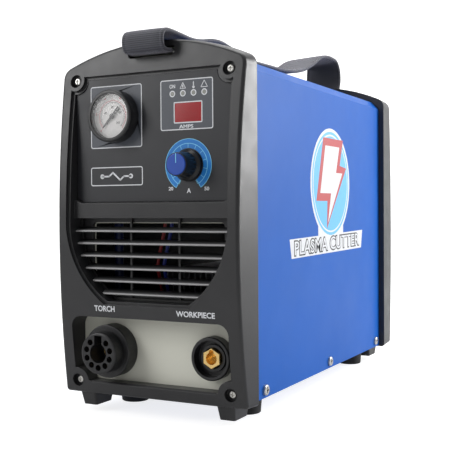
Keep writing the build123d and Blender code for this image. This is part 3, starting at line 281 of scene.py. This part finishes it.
def coated(name, color, rough=0.38, peel=0.00002, **inputs):
    """Powder-coated sheet: slight orange peel under a satin surface."""
    s = Shader(name, color, rough, **inputs)
    s.mottle(9, 0.05).gloss(25, 0.04)
    s.relief(s.noise(900, 2.0, 0.4), peel).soft_edges(0.0004)
    return s


def metal(name, color, rough=0.3, grain=(1, 1, 1), depth=0.000006, scale=900):
    """Metal with grain or turning marks stretched along one axis."""
    s = Shader(name, color, rough, metallic=1.0)
    lines = s.stretched(grain)
    s.mottle(scale * 0.2, 0.12, lines).gloss(scale * 0.4, 0.07, lines)
    s.relief(s.noise(scale, 3.0, vector=lines), depth).soft_edges(0.0002)
    return s


def coated_with_inner_shade(name, color, inner_shade, rough=0.42):
    """Powder-coated sheet whose faces that look in at the unit's middle take a dark colour: painted shade
    for its unlit inside.
    """
    s = coated(name, color, rough, Specular_IOR_Level=0.14)
    coords = s.node("ShaderNodeTexCoord")
    outward = s.node("ShaderNodeVectorMath", operation="SUBTRACT")
    outward.inputs[1].default_value = (0.0, 0.0, COVER_MIDDLE_Z * MM)
    s.link(coords.outputs["Object"], outward.inputs[0])
    flat = s.node("ShaderNodeVectorMath", operation="MULTIPLY")
    flat.inputs[1].default_value = (1.0, 0.0, 1.0)
    s.link(outward.outputs["Vector"], flat.inputs[0])
    facing = s.node("ShaderNodeVectorMath", operation="DOT_PRODUCT")
    s.link(coords.outputs["Normal"], facing.inputs[0])
    s.link(flat.outputs["Vector"], facing.inputs[1])
    outside = s.math("GREATER_THAN", facing.outputs["Value"], 0.0)
    mix = s.node("ShaderNodeMix", data_type="RGBA")
    s.link(outside, mix.inputs["Factor"])
    # Painted shade: the faces that look inward take the dark colour.
    mix.inputs["A"].default_value = (*inner_shade, 1.0)
    s.link(s.bsdf.inputs["Base Color"].links[0].from_socket, mix.inputs["B"])
    s.link(mix.outputs["Result"], s.bsdf.inputs["Base Color"])
    return s


def flat_print(name, color, rough=0.45):
    """Screen-printed ink."""
    s = Shader(name, color, rough)
    s.mottle(500, 0.05).relief(s.noise(5000, 1.0), 0.000005)
    return s


def webbing_shader():
    """Ribbed webbing: weft ribs across the strap and finer warp threads along it, rough with yarn."""
    s = Shader("strap_webbing", srgb(36, 37, 43), 0.6, Sheen_Weight=0.5, Sheen_Roughness=0.35,
               Sheen_Tint=(0.75, 0.74, 0.85, 1.0))
    uv = s.node("ShaderNodeTexCoord").outputs["UV"]
    split = s.node("ShaderNodeSeparateXYZ")
    s.link(uv, split.inputs["Vector"])
    along, across = split.outputs["X"], split.outputs["Y"]

    def ridges(value, pitch):
        return s.math("ABSOLUTE", s.math("SINE", s.math("MULTIPLY", value, math.pi / pitch), 0.0), 0.0)
    ribs = ridges(along, RIB_PITCH * MM)
    threads = ridges(across, THREAD_PITCH * MM)
    weave = s.math("ADD", ribs, s.math("MULTIPLY", threads, 0.3))
    rough_yarn = s.math("ADD", weave, s.math("MULTIPLY", s.noise(1500, 3.0), 0.45))
    tone = s.ramp(rough_yarn, [(0.2, srgb(15, 15, 19)), (0.75, srgb(39, 40, 47)), (1.0, srgb(66, 67, 76))])
    s.link(tone, s.bsdf.inputs["Base Color"])
    s.relief(rough_yarn, 0.00025, 0.9)
    return s.mat


def circuit_shader():
    """Green solder mask with paler tracks under it."""
    s = Shader("circuit_board", (0.02, 0.13, 0.05), 0.35)
    brick = s.node("ShaderNodeTexVoronoi", feature="DISTANCE_TO_EDGE", distance="MANHATTAN")
    brick.inputs["Scale"].default_value = 130.0
    s.link(s.coords, brick.inputs["Vector"])
    tracks = s.ramp(brick.outputs["Distance"], [(0.06, (0.06, 0.28, 0.09)), (0.1, (0.015, 0.11, 0.04))])
    s.link(tracks, s.bsdf.inputs["Base Color"])
    s.relief(brick.outputs["Distance"], 0.00003)
    return s.mat


def clear_shader():
    """The gauge's clear lens."""
    s = Shader("gauge_glass", (1.0, 1.0, 1.0), 0.03, Alpha=0.1, Specular_IOR_Level=0.8)
    s.relief(s.noise(30, 1.0), 0.00001)
    return s.mat


def louvre_shader():
    """Grey moulding with a painted highlight on its lips and painted shade on its inner parts, darker with
    depth.
    """
    s = moulded("grille_plastic", srgb(120, 120, 120), 0.4)
    split = s.node("ShaderNodeSeparateXYZ")
    s.link(s.coords, split.inputs["Vector"])
    depth = s.math("MULTIPLY", s.math("ADD", split.outputs["Y"], -GRILLE_LIP_Y * MM), 1 / (SHADED_DEPTH * MM))
    # The pale stop is a painted highlight and the dark stops are painted shade.
    s.link(s.ramp(depth, [(0.05, srgb(160, 160, 161)), (0.35, srgb(74, 74, 75)), (0.75, srgb(24, 24, 25))]),
           s.bsdf.inputs["Base Color"])
    return s.mat


def make_materials():
    """Every material but the stage's, by the key that SURFACES and the prints use."""
    red = Shader("red_filter", srgb(150, 22, 28), 0.15, Coat_Weight=0.4, Coat_Roughness=0.1)
    red.mottle(60, 0.08).relief(red.noise(300, 2.0), 0.000004)
    lens = Shader("led_lens", srgb(140, 142, 136), 0.25, Coat_Weight=0.5)
    lens.mottle(900, 0.06).relief(lens.noise(2000, 1.0), 0.000004)
    rubber = moulded("rubber", srgb(30, 30, 31), 0.7, 0.00004)
    hose = moulded("hose", srgb(18, 34, 84), 0.45)
    tape = Shader("winding_tape", srgb(214, 170, 60), 0.4)
    tape.mottle(60, 0.1).relief(tape.noise(300, 2.0, vector=tape.stretched((0.1, 0.1, 6))), 0.0001)
    return {
        "bezel": moulded("bezel_plastic", srgb(37, 37, 39), 0.38)
        .worn_edges(srgb(92, 92, 95), 0.0006).mat,
        "grille": louvre_shader(),
        "fascia": coated("fascia_coat", srgb(208, 208, 196), 0.5).mat,
        "panel": coated("panel_coat", srgb(70, 70, 74), 0.35).mat,
        "overlay": moulded("overlay_film", srgb(28, 29, 34), 0.42, 0.000008).mat,
        # Its second colour is painted shade on the inner faces of the cover and base pan.
        "blue": coated_with_inner_shade("blue_powder_coat", srgb(14, 88, 177), srgb(12, 13, 17)).mat,
        "zinc": metal("zinc_plate", (0.60, 0.59, 0.56), 0.33, (1, 1, 1), 0.00001, 1500).mat,
        "black": moulded("black_plastic", srgb(24, 24, 26), 0.34, 0.00001).mat,
        "dark": moulded("dark_plastic", srgb(27, 27, 29), 0.42).mat,
        "brass": metal("brass", (0.86, 0.60, 0.24), 0.25, (1, 30, 1), 0.00001, 300).mat,
        "steel": metal("plain_steel", (0.55, 0.55, 0.56), 0.35).mat,
        "aluminium": metal("aluminium", (0.72, 0.72, 0.73), 0.38, (1, 0.05, 1), 0.00002, 1200).mat,
        "dial": flat_print("dial_face", srgb(218, 216, 215)).mat,
        "white": flat_print("print_white", srgb(214, 216, 220)).mat,
        "dark_ink": flat_print("print_black", srgb(26, 26, 28)).mat,
        "red_ink": flat_print("print_red", srgb(186, 62, 66)).mat,
        "grey_ink": flat_print("print_grey", srgb(72, 76, 84), 0.42).mat,
        "scale_blue": flat_print("print_scale_blue", srgb(2, 116, 196)).mat,
        "pale_blue": flat_print("print_pale_blue", srgb(126, 206, 240)).mat,
        "badge_blue": flat_print("print_badge_blue", srgb(88, 176, 224)).mat,
        "badge_red": flat_print("print_badge_red", srgb(176, 48, 52)).mat,
        "knob_blue": moulded("knob_blue", srgb(8, 68, 166), 0.4, 0.00001).mat,
        "red": red.mat,
        "lens": lens.mat,
        "glass": clear_shader(),
        "rubber": rubber.mat,
        "webbing": webbing_shader(),
        "circuit": circuit_shader(),
        "epoxy": moulded("epoxy", srgb(26, 26, 28), 0.5).mat,
        "sleeve": moulded("capacitor_sleeve", srgb(26, 32, 66), 0.3, 0.000005).mat,
        "ferrite": moulded("ferrite", srgb(50, 49, 50), 0.6, 0.00006).mat,
        "tape": tape.mat,
        "hose": hose.mat,
        "lead_black": moulded("lead_black", srgb(24, 24, 25), 0.45).mat,
        "lead_red": moulded("lead_red", srgb(120, 16, 18), 0.4).mat,
        "lead_blue": moulded("lead_blue", srgb(22, 38, 118), 0.4).mat,
    }


SURFACES = {
    "bezel": ("front_bezel", "rear_bezel"),
    "grille": ("front_grille",),
    "fascia": ("front_plate", "rear_plate"),
    "panel": ("control_panel",),
    "overlay": ("panel_overlay",),
    "blue": ("cover", "base_pan"),
    "zinc": ("bezel_screws", "foot_studs", "side_screws", "fan_screws"),
    "black": ("gauge_case", "current_knob", "work_socket_shell", "fan_frame", "fan_rotor", "power_switch",
              "power_switch_rocker", "cable_gland", "regulator_knob"),
    "dark": ("torch_socket", "torch_socket_barrel"),
    "brass": ("gauge_stem", "torch_contacts", "torch_gas_tube", "work_socket_insert", "air_inlet",
              "board_posts", "valve_body"),
    "steel": ("potentiometer", "potentiometer_shaft", "socket_nuts", "rear_nuts", "fan_guard",
              "strap_bars"),
    "aluminium": ("regulator", "heat_sinks"),
    "dial": ("gauge_dial",),
    "dark_ink": ("gauge_needle",),
    "glass": ("gauge_lens",),
    "red": ("display_window",),
    "lens": ("indicator_leds",),
    "knob_blue": ("knob_cap",),
    "rubber": ("rubber_feet",),
    "webbing": ("carry_strap",),
    "circuit": ("power_board", "control_board"),
    "epoxy": ("display_module", "power_transistors", "valve_coil"),
    "sleeve": ("capacitors",),
    "ferrite": ("transformer_core", "output_choke"),
    "tape": ("transformer_winding",),
    "hose": ("air_hoses",),
    "lead_black": ("work_lead",),
    "lead_red": ("red_lead",),
    "lead_blue": ("blue_lead",),
}


def paint_frame(materials):
    """Gives each node of the frame its material, by SURFACES."""
    for key, nodes in SURFACES.items():
        for node in nodes:
            for material_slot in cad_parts[node].material_slots:
                material_slot.material = materials[key]


# ---- Printed graphics ---------------------------------------------------------------------------
def on_front(y):
    """Maps (right, up) in mm to a flat surface that faces -Y."""
    return lambda u, v, lift: Vector((u * MM, (y - lift) * MM, v * MM))


def on_bulge(u, v, lift):
    """The front bezel's face, a cylinder about a sideways axis."""
    y = BULGE_NOSE_Y + BULGE_R - math.sqrt(BULGE_R ** 2 - (v - BULGE_Z) ** 2)
    return Vector((u * MM, (y - lift) * MM, v * MM))


def on_right_side(u, v, lift):
    """The cover's right side, seen from +X: u runs along +Y."""
    return Vector(((COVER_SIDE_X + lift) * MM, u * MM, v * MM))


class Print:
    """Flat ink shapes of one colour, laid on a surface and given a hair of thickness.

    place maps (right, up, lift) in mm to a point in the frame. Prints that cross have different lifts.
    """

    def __init__(self, name, place, material, lift=0.05, body=CASE, thick=0.03):
        self.name, self.place, self.material = name, place, material
        self.lift, self.body, self.thick = lift, body, thick
        self.bm = bmesh.new()

    def face(self, points):
        self.bm.faces.new([self.bm.verts.new(self.place(u, v, self.lift)) for u, v in points])
        return self

    def strip(self, outer, inner, closed=True):
        """The band between two outlines with as many points each."""
        count = len(outer)
        a = [self.bm.verts.new(self.place(u, v, self.lift)) for u, v in outer]
        b = [self.bm.verts.new(self.place(u, v, self.lift)) for u, v in inner]
        for i in range(count if closed else count - 1):
            j = (i + 1) % count
            self.bm.faces.new((a[i], a[j], b[j], b[i]))
        return self

    def line(self, p, q, width):
        p, q = Vector(p), Vector(q)
        side = (q - p).normalized().orthogonal() * width / 2
        return self.face([p + side, q + side, q - side, p - side])

    def path(self, points, width, closed=False):
        """Lines from point to point, with round ends and corners."""
        ends = points[1:] + (points[:1] if closed else [])
        for p, q in zip(points, ends):
            self.line(p, q, width)
            self.disc(q, width / 2, 8)
        return self.disc(points[0], width / 2, 8)

    def disc(self, centre, radius, steps=40):
        return self.face(arc(centre, radius, 0, 360, steps)[:-1])

    def ring(self, centre, outer, inner, start=0, end=360, steps=64):
        """A ring or part of one; degrees counterclockwise from the right."""
        closed = end - start == 360
        cut = slice(None, -1) if closed else slice(None)
        return self.strip(arc(centre, outer, start, end, steps)[cut],
                          arc(centre, inner, start, end, steps)[cut], closed)

    def frame_line(self, low, high, radius, width):
        """A line of one width just inside a box with round corners."""
        return self.strip(rounded(low, high, radius),
                          rounded((low[0] + width, low[1] + width), (high[0] - width, high[1] - width),
                                  max(radius - width, 0.05)))

    def text(self, words, centre, height, width=None, turn=0.0, bold=0.026):
        """Words fitted to a height, and to a width where one is given; bold thickens their strokes."""
        curve = bpy.data.curves.new(self.name + "_text", "FONT")
        curve.body, curve.size = words, 1.0
        curve.resolution_u = 4
        curve.offset = bold
        holder = bpy.data.objects.new(self.name + "_text", curve)
        mesh = bpy.data.meshes.new_from_object(holder)
        xs, ys = [v.co.x for v in mesh.vertices], [v.co.y for v in mesh.vertices]
        tall = height / (max(ys) - min(ys))
        wide = width / (max(xs) - min(xs)) if width else tall
        mid_x, mid_y = (max(xs) + min(xs)) / 2, (max(ys) + min(ys)) / 2
        spin = Matrix.Rotation(math.radians(turn), 2)
        verts = []
        for v in mesh.vertices:
            flat = spin @ Vector(((v.co.x - mid_x) * wide, (v.co.y - mid_y) * tall))
            verts.append(self.bm.verts.new(self.place(centre[0] + flat.x, centre[1] + flat.y, self.lift)))
        for polygon in mesh.polygons:
            self.bm.faces.new([verts[i] for i in polygon.vertices])
        bpy.data.objects.remove(holder)
        bpy.data.curves.remove(curve)
        bpy.data.meshes.remove(mesh)
        return self

    def done(self):
        """Thickens the faces away from the surface and rides the piece on its body."""
        outward = (self.place(0, BULGE_Z, 1.0) - self.place(0, BULGE_Z, 0.0)).normalized()
        for face in self.bm.faces:
            face.normal_update()
            if face.normal.dot(outward) < 0:
                face.normal_flip()
        made = bmesh.ops.extrude_face_region(self.bm, geom=list(self.bm.faces))
        raised = [g for g in made["geom"] if isinstance(g, bmesh.types.BMVert)]
        bmesh.ops.translate(self.bm, verts=raised, vec=outward * self.thick * MM)
        mesh = bpy.data.meshes.new(self.name)
        self.bm.to_mesh(mesh)
        self.bm.free()
        mesh.materials.append(self.material)
        piece = bpy.data.objects.new(self.name, mesh)
        bpy.context.scene.collection.objects.link(piece)
        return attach(piece, self.body)


def arc(centre, radius, start, end, steps):
    """Points on a circle; angles in degrees counterclockwise from the right."""
    angles = [math.radians(start + (end - start) * i / steps) for i in range(steps + 1)]
    return [(centre[0] + radius * math.cos(a), centre[1] + radius * math.sin(a)) for a in angles]


def rounded(low, high, radius, steps=6):
    """Points round a box with round corners, counterclockwise from its upper right one."""
    corners = [((high[0] - radius, high[1] - radius), 0), ((low[0] + radius, high[1] - radius), 90),
               ((low[0] + radius, low[1] + radius), 180), ((high[0] - radius, low[1] + radius), 270)]
    return [p for centre, start in corners for p in arc(centre, radius, start, start + 90, steps)]


def clockwise(centre, radius, degrees):
    """Point on a dial; degrees run clockwise from the top."""
    a = math.radians(degrees)
    return (centre[0] + radius * math.sin(a), centre[1] + radius * math.cos(a))


def box_around(centre, half_wide, half_tall):
    """Opposite corners of a box, as rounded and frame_line take them."""
    x, z = centre
    return (x - half_wide, z - half_tall), (x + half_wide, z + half_tall)


def print_panel(m):
    """Grey fields, white lines, words and symbols on the sheet panel, and the knob's blue scale."""
    grey = Print("panel_grey_fields", on_front(PANEL_Y), m["grey_ink"], 0.02)
    grey.strip(rounded(*GAUGE_BOX, 2.0, 16), arc(GAUGE, GAUGE_OPENING_R, 45, 405, 67))
    grey.strip(rounded(*DISPLAY_BOX, 1.6), rounded(*box_around(DISPLAY, 11.6, 7.3), 0.7))
    grey.done()

    white = Print("panel_white_lines", on_front(PANEL_Y), m["white"], 0.06)
    white.frame_line(*GAUGE_BOX, 2.0, BOX_LINE)
    white.frame_line(*DISPLAY_BOX, 1.8, BOX_LINE)
    white.frame_line(*NAME_BOX, 1.8, BOX_LINE)
    white.frame_line(*box_around(DISPLAY, 12.4, 8.1), 0.9, 0.85)
    for centre in LEDS:
        white.ring(centre, 2.45, 1.65, steps=28)
    white.text("ON", (LEDS[0][0], SYMBOL_Z), 3.0, 5.0)
    white.text("AMPS", (31.4, 225.4), 2.8, 12.3)

    # Supply sign: a mark inside a triangle
    x, z = LEDS[1][0], SYMBOL_Z
    white.path([(x - 2.4, z - 1.9), (x + 2.4, z - 1.9), (x, z + 2.4)], 0.45, closed=True)
    white.line((x, z - 1.2), (x, z + 0.8), 0.9)

    # Overheating sign: a thermometer
    x = LEDS[2][0]
    white.path([(x, z - 0.9), (x, z + 2.4)], 0.85)
    white.disc((x, z - 1.4), 1.1, 20)

    # Fault sign: an empty triangle
    x = LEDS[3][0]
    white.path([(x - 2.8, z - 1.9), (x + 2.8, z - 1.9), (x, z + 3.0)], 0.5, closed=True)

    white.text("A", (KNOB[0] + 0.4, 177.0), 3.5, 3.5)
    white.text("20", (KNOB[0] - 15.3, 178.7), 2.8, 4.1)
    white.text("50", (KNOB[0] + 15.8, 178.3), 2.8, 4.1)

    # Pulse mark in the name box: a zigzag between two dots
    x, z = (NAME_BOX[0][0] + NAME_BOX[1][0]) / 2, (NAME_BOX[0][1] + NAME_BOX[1][1]) / 2
    white.path([(x - 13.5, z), (x - 7.0, z), (x - 3.4, z + 3.0), (x + 3.4, z - 3.0), (x + 7.0, z),
                (x + 13.5, z)], 1.3)
    white.disc((x - 13.5, z), 1.9).disc((x + 13.5, z), 1.9)
    white.done()
    print_knob_scale(m)


def print_knob_scale(m):
    """A blue band three quarters of the way round the knob, with pale edges and ticks."""
    band = Print("knob_scale_band", on_front(PANEL_Y), m["scale_blue"], 0.04)
    band.ring(KNOB, BAND_OUTER_R, BAND_INNER_R, BAND_START, BAND_END, 96)
    band.done()
    lines = Print("knob_scale_lines", on_front(PANEL_Y), m["pale_blue"], 0.08)
    lines.ring(KNOB, BAND_TICK_R, BAND_TICK_R - 0.45, BAND_START + 0.5, BAND_END - 0.5, 96)
    lines.ring(KNOB, BAND_EDGE_R, BAND_EDGE_R - 0.4, BAND_START - 0.5, BAND_END + 0.5, 96)
    for end in (BAND_START, BAND_END):
        a = math.radians(end)
        ray = Vector((math.cos(a), math.sin(a)))
        lines.line(Vector(KNOB) + ray * BAND_INNER_R, Vector(KNOB) + ray * (BAND_EDGE_R - 0.1), 0.4)
    for i in range(KNOB_TICKS):
        angle = KNOB_TRAVEL * (i / (KNOB_TICKS - 1) - 0.5)
        inner, outer = BAND_INNER_R + 0.2, BAND_TICK_R - 0.4
        lines.line(clockwise(KNOB, inner, angle), clockwise(KNOB, outer, angle), 0.35)
    lines.done()


def gauge_angle(i, count):
    """Degrees clockwise from the top of mark i out of count marks spread over the gauge's travel."""
    return GAUGE_TRAVEL * (i / (count - 1) - 0.5)


def print_gauge(m):
    """An outer red scale in bar and an inner black scale in psi."""
    face = on_front(DIAL_Y)
    start, end = 90 - GAUGE_TRAVEL / 2, 90 + GAUGE_TRAVEL / 2
    red = Print("gauge_red_scale", face, m["red_ink"], 0.03)
    red.ring(GAUGE, BAR_R, BAR_R - 0.35, start, end, 90)
    for i in range(BAR_TICKS):
        angle = gauge_angle(i, BAR_TICKS)
        tip = BAR_R + (0.9 if i % 5 else 1.7)
        red.line(clockwise(GAUGE, BAR_R - 0.2, angle), clockwise(GAUGE, tip, angle), HAIRLINE)
    for i, words in enumerate(BAR_FIGURES):
        red.text(words, clockwise(GAUGE, BAR_R + 3.2, gauge_angle(i, len(BAR_FIGURES))), 2.0)
    red.done()
    black = Print("gauge_black_scale", face, m["dark_ink"], 0.05)
    black.ring(GAUGE, PSI_R, PSI_R - 0.25, start, end, 90)
    for i in range(PSI_TICKS):
        angle = gauge_angle(i, PSI_TICKS)
        tip = PSI_R - (1.0 if i % 5 else 1.6)
        black.line(clockwise(GAUGE, PSI_R, angle), clockwise(GAUGE, tip, angle), HAIRLINE)
    for i, words in enumerate(PSI_FIGURES):
        black.text(words, clockwise(GAUGE, PSI_R - 4.0, gauge_angle(i, len(PSI_FIGURES))), 1.9)
    black.done()


def print_legends(m):
    """The words over the two sockets."""
    legend = Print("socket_legends", on_bulge, m["white"], 0.05)
    for words, place, height, width in LEGENDS:
        legend.text(words, place, height, width)
    legend.done()


def print_knob_pointer(m):
    """A short line on the knob's cap, which turns with it."""
    pointer = Print("knob_pointer", on_front(KNOB_FACE_Y), m["pale_blue"], -0.03, "current_knob", 0.05)
    pointer.line((KNOB[0], KNOB[1] + 1.0), (KNOB[0], KNOB[1] + 8.0), 0.6)
    pointer.done()


def spark(grow):
    """The badge's spark, with its outline moved outward by grow mm."""
    corners = []
    for i, (x, z) in enumerate(BOLT):
        before = Vector((x, z)) - Vector(BOLT[i - 1])
        after = Vector(BOLT[(i + 1) % len(BOLT)]) - Vector((x, z))
        n0 = Vector((-before.y, before.x)).normalized()
        n1 = Vector((-after.y, after.x)).normalized()
        out = (n0 + n1) / max(1 + n0.dot(n1), 0.5)
        corners.append((BADGE[0] + x + out.x * grow, BADGE[1] + z + out.y * grow))
    return corners


def print_badge(m):
    """A plain workshop badge on the right side: a spark on a round field, over a word strip.

    Shapes that overlap are separate prints at rising lifts, so that no two faces share a plane.
    """
    def layer(name, ink, lift):
        return Print(name, on_right_side, m[ink], lift)

    layer("badge_white", "white", 0.05).disc(BADGE, BADGE_R, 72).done()
    layer("badge_strip", "white", 0.02).face(BADGE_STRIP).done()
    field = layer("badge_field", "badge_blue", 0.09)
    field.ring(BADGE, *BADGE_RING_R, steps=72).disc(BADGE, BADGE_FIELD_R, 72).done()
    layer("badge_red", "badge_red", 0.12).face(spark(BOLT_OUTLINE)).done()
    layer("badge_core", "white", 0.15).face(spark(0.0)).done()
    words, place, turn = BADGE_WORDS, BADGE_WORDS_AT, BADGE_WORDS_TURN
    layer("badge_words", "dark_ink", 0.09).text(words, place, 14.0, 166.0, turn, bold=0.06).done()
    layer("badge_letters", "white", 0.12).text(words, place, 11.6, 163.0, turn, bold=0.005).done()


# ---- Carry strap --------------------------------------------------------------------------------
def smooth_route(points, step):
    """Points every step mm or so along a Catmull-Rom curve through the route."""
    ends = [tuple(2 * a - b for a, b in zip(points[0], points[1]))]
    tail = [tuple(2 * a - b for a, b in zip(points[-1], points[-2]))]
    knots = [Vector(p) for p in ends + points + tail]
    route = []
    for a, b, c, d in zip(knots, knots[1:], knots[2:], knots[3:]):
        steps = max(2, round((c - b).length / step))
        for i in range(steps):
            t = i / steps
            route.append(0.5 * (2 * b + (c - a) * t + (2 * a - 5 * b + 4 * c - d) * t * t
                                + (3 * b - a - 3 * c + d) * t ** 3))
    return route + [knots[-2]]


def strap_section():
    """Closed outline of the strap's section, from one edge over the top and back underneath."""
    upper = STRAP_HALF + [(-x, t) for x, t in reversed(STRAP_HALF[:-1])]
    return upper + [(x, -t) for x, t in reversed(upper[1:-1])]


def strap_row(here, ahead, travel, section):
    """The section's corners at one place on the route, in metres."""
    normal = Vector((-ahead.y, ahead.x))
    sway = STRAP_SWAY * math.sin(travel * STRAP_WAVES[0]) * math.sin(travel * STRAP_WAVES[1])
    rear = 1 / (1 + math.exp((STRAP_REAR_Y - here.x) / STRAP_REAR_BLEND))
    leg = rear / (1 + math.exp((here.y - STRAP_LEG_Z) / STRAP_LEG_BLEND))
    roll, yaw = STRAP_ROLL * (rear - leg), STRAP_YAW * leg
    return [Vector((x + sway, here.x + normal.x * t + yaw * x, here.y + normal.y * t + roll * x)) * MM
            for x, t in section]


def make_strap(m):
    """Woven strap in the place of the CAD one: its section swept along the route."""
    section = strap_section()
    route = smooth_route(STRAP_ROUTE, STRAP_STEP)
    bm = bmesh.new()
    uv = bm.loops.layers.uv.new("strap")
    rows, travel, lengths = [], 0.0, []
    for i, here in enumerate(route):
        before, after = route[max(i - 1, 0)], route[min(i + 1, len(route) - 1)]
        travel += (here - before).length
        lengths.append(travel * MM)
        corners = strap_row(here, (after - before).normalized(), travel, section)
        rows.append([bm.verts.new(corner) for corner in corners])
    count = len(section)
    girth = [0.0]
    for (x0, t0), (x1, t1) in zip(section, section[1:] + section[:1]):
        girth.append(girth[-1] + math.hypot(x1 - x0, t1 - t0) * MM)
    for r in range(len(rows) - 1):
        for i in range(count):
            j = (i + 1) % count
            face = bm.faces.new((rows[r][i], rows[r][j], rows[r + 1][j], rows[r + 1][i]))
            face.smooth = True
            places = ((lengths[r], girth[i]), (lengths[r], girth[i + 1]),
                      (lengths[r + 1], girth[i + 1]), (lengths[r + 1], girth[i]))
            for loop, place in zip(face.loops, places):
                loop[uv].uv = place
    bm.faces.new(reversed(rows[0]))
    bm.faces.new(rows[-1])
    bmesh.ops.recalc_face_normals(bm, faces=bm.faces)
    mesh = bpy.data.meshes.new("strap_woven")
    bm.to_mesh(mesh)
    bm.free()
    mesh.materials.append(m["webbing"])
    strap = bpy.data.objects.new("strap_woven", mesh)
    bpy.context.scene.collection.objects.link(strap)
    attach(strap, CASE)
    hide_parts("carry_strap")


# ---- Stage --------------------------------------------------------------------------------------
def make_stage():
    """Pale sweep: a floor that curves up into a backdrop behind the unit."""
    bend = [math.radians(a) for a in range(0, 91, 6)]
    profile = [(SWEEP_FRONT_Y, 0.0)]
    profile += [(SWEEP_BEND_Y + SWEEP_BEND_R * math.sin(a), SWEEP_BEND_R * (1 - math.cos(a))) for a in bend]
    profile += [(SWEEP_BEND_Y + SWEEP_BEND_R, SWEEP_TOP_Z)]
    bm = bmesh.new()
    rows = [[bm.verts.new((x, y, z)) for x in SWEEP_SIDES] for y, z in profile]
    for low, high in zip(rows, rows[1:]):
        bm.faces.new((low[0], low[1], high[1], high[0])).smooth = True
    mesh = bpy.data.meshes.new("sweep")
    bm.to_mesh(mesh)
    bm.free()
    s = Shader("sweep_white", (0.5, 0.5, 0.5), 0.9, Specular_IOR_Level=0.0,
               Emission_Color=(1.0, 1.0, 1.0, 1.0))
    s.mottle(2, 0.01)
    seen = s.node("ShaderNodeLightPath").outputs["Is Camera Ray"]
    glow = s.math("ADD", s.math("MULTIPLY", seen, SWEEP_SEEN_GLOW), SWEEP_GLOW)
    s.link(glow, s.bsdf.inputs["Emission Strength"])
    mesh.materials.append(s.mat)
    sweep = bpy.data.objects.new("sweep", mesh)
    bpy.context.scene.collection.objects.link(sweep)


def softbox(name, place, aim, size, power):
    """A rectangular area light at place, turned to face aim."""
    data = bpy.data.lights.new(name, "AREA")
    data.shape = "RECTANGLE"
    data.size, data.size_y = size
    data.energy = power
    light = bpy.data.objects.new(name, data)
    light.location = place
    light.rotation_euler = (Vector(aim) - Vector(place)).to_track_quat("-Z", "Y").to_euler()
    bpy.context.scene.collection.objects.link(light)


def make_lights():
    """A pale world and the soft boxes in LIGHTS."""
    world = bpy.data.worlds.new("studio")
    world.use_nodes = True
    world.node_tree.nodes["Background"].inputs["Color"].default_value = (1.0, 1.0, 1.0, 1.0)
    world.node_tree.nodes["Background"].inputs["Strength"].default_value = WORLD_LIGHT
    bpy.context.scene.world = world
    for name, setting in LIGHTS.items():
        softbox(name, *setting)


# ---- The whole scene ----------------------------------------------------------------------------
bpy.context.scene.view_settings.view_transform = "Standard"
make_camera()
materials = make_materials()
paint_frame(materials)
print_panel(materials)
print_gauge(materials)
print_legends(materials)
print_knob_pointer(materials)
print_badge(materials)
make_strap(materials)
make_stage()
make_lights()
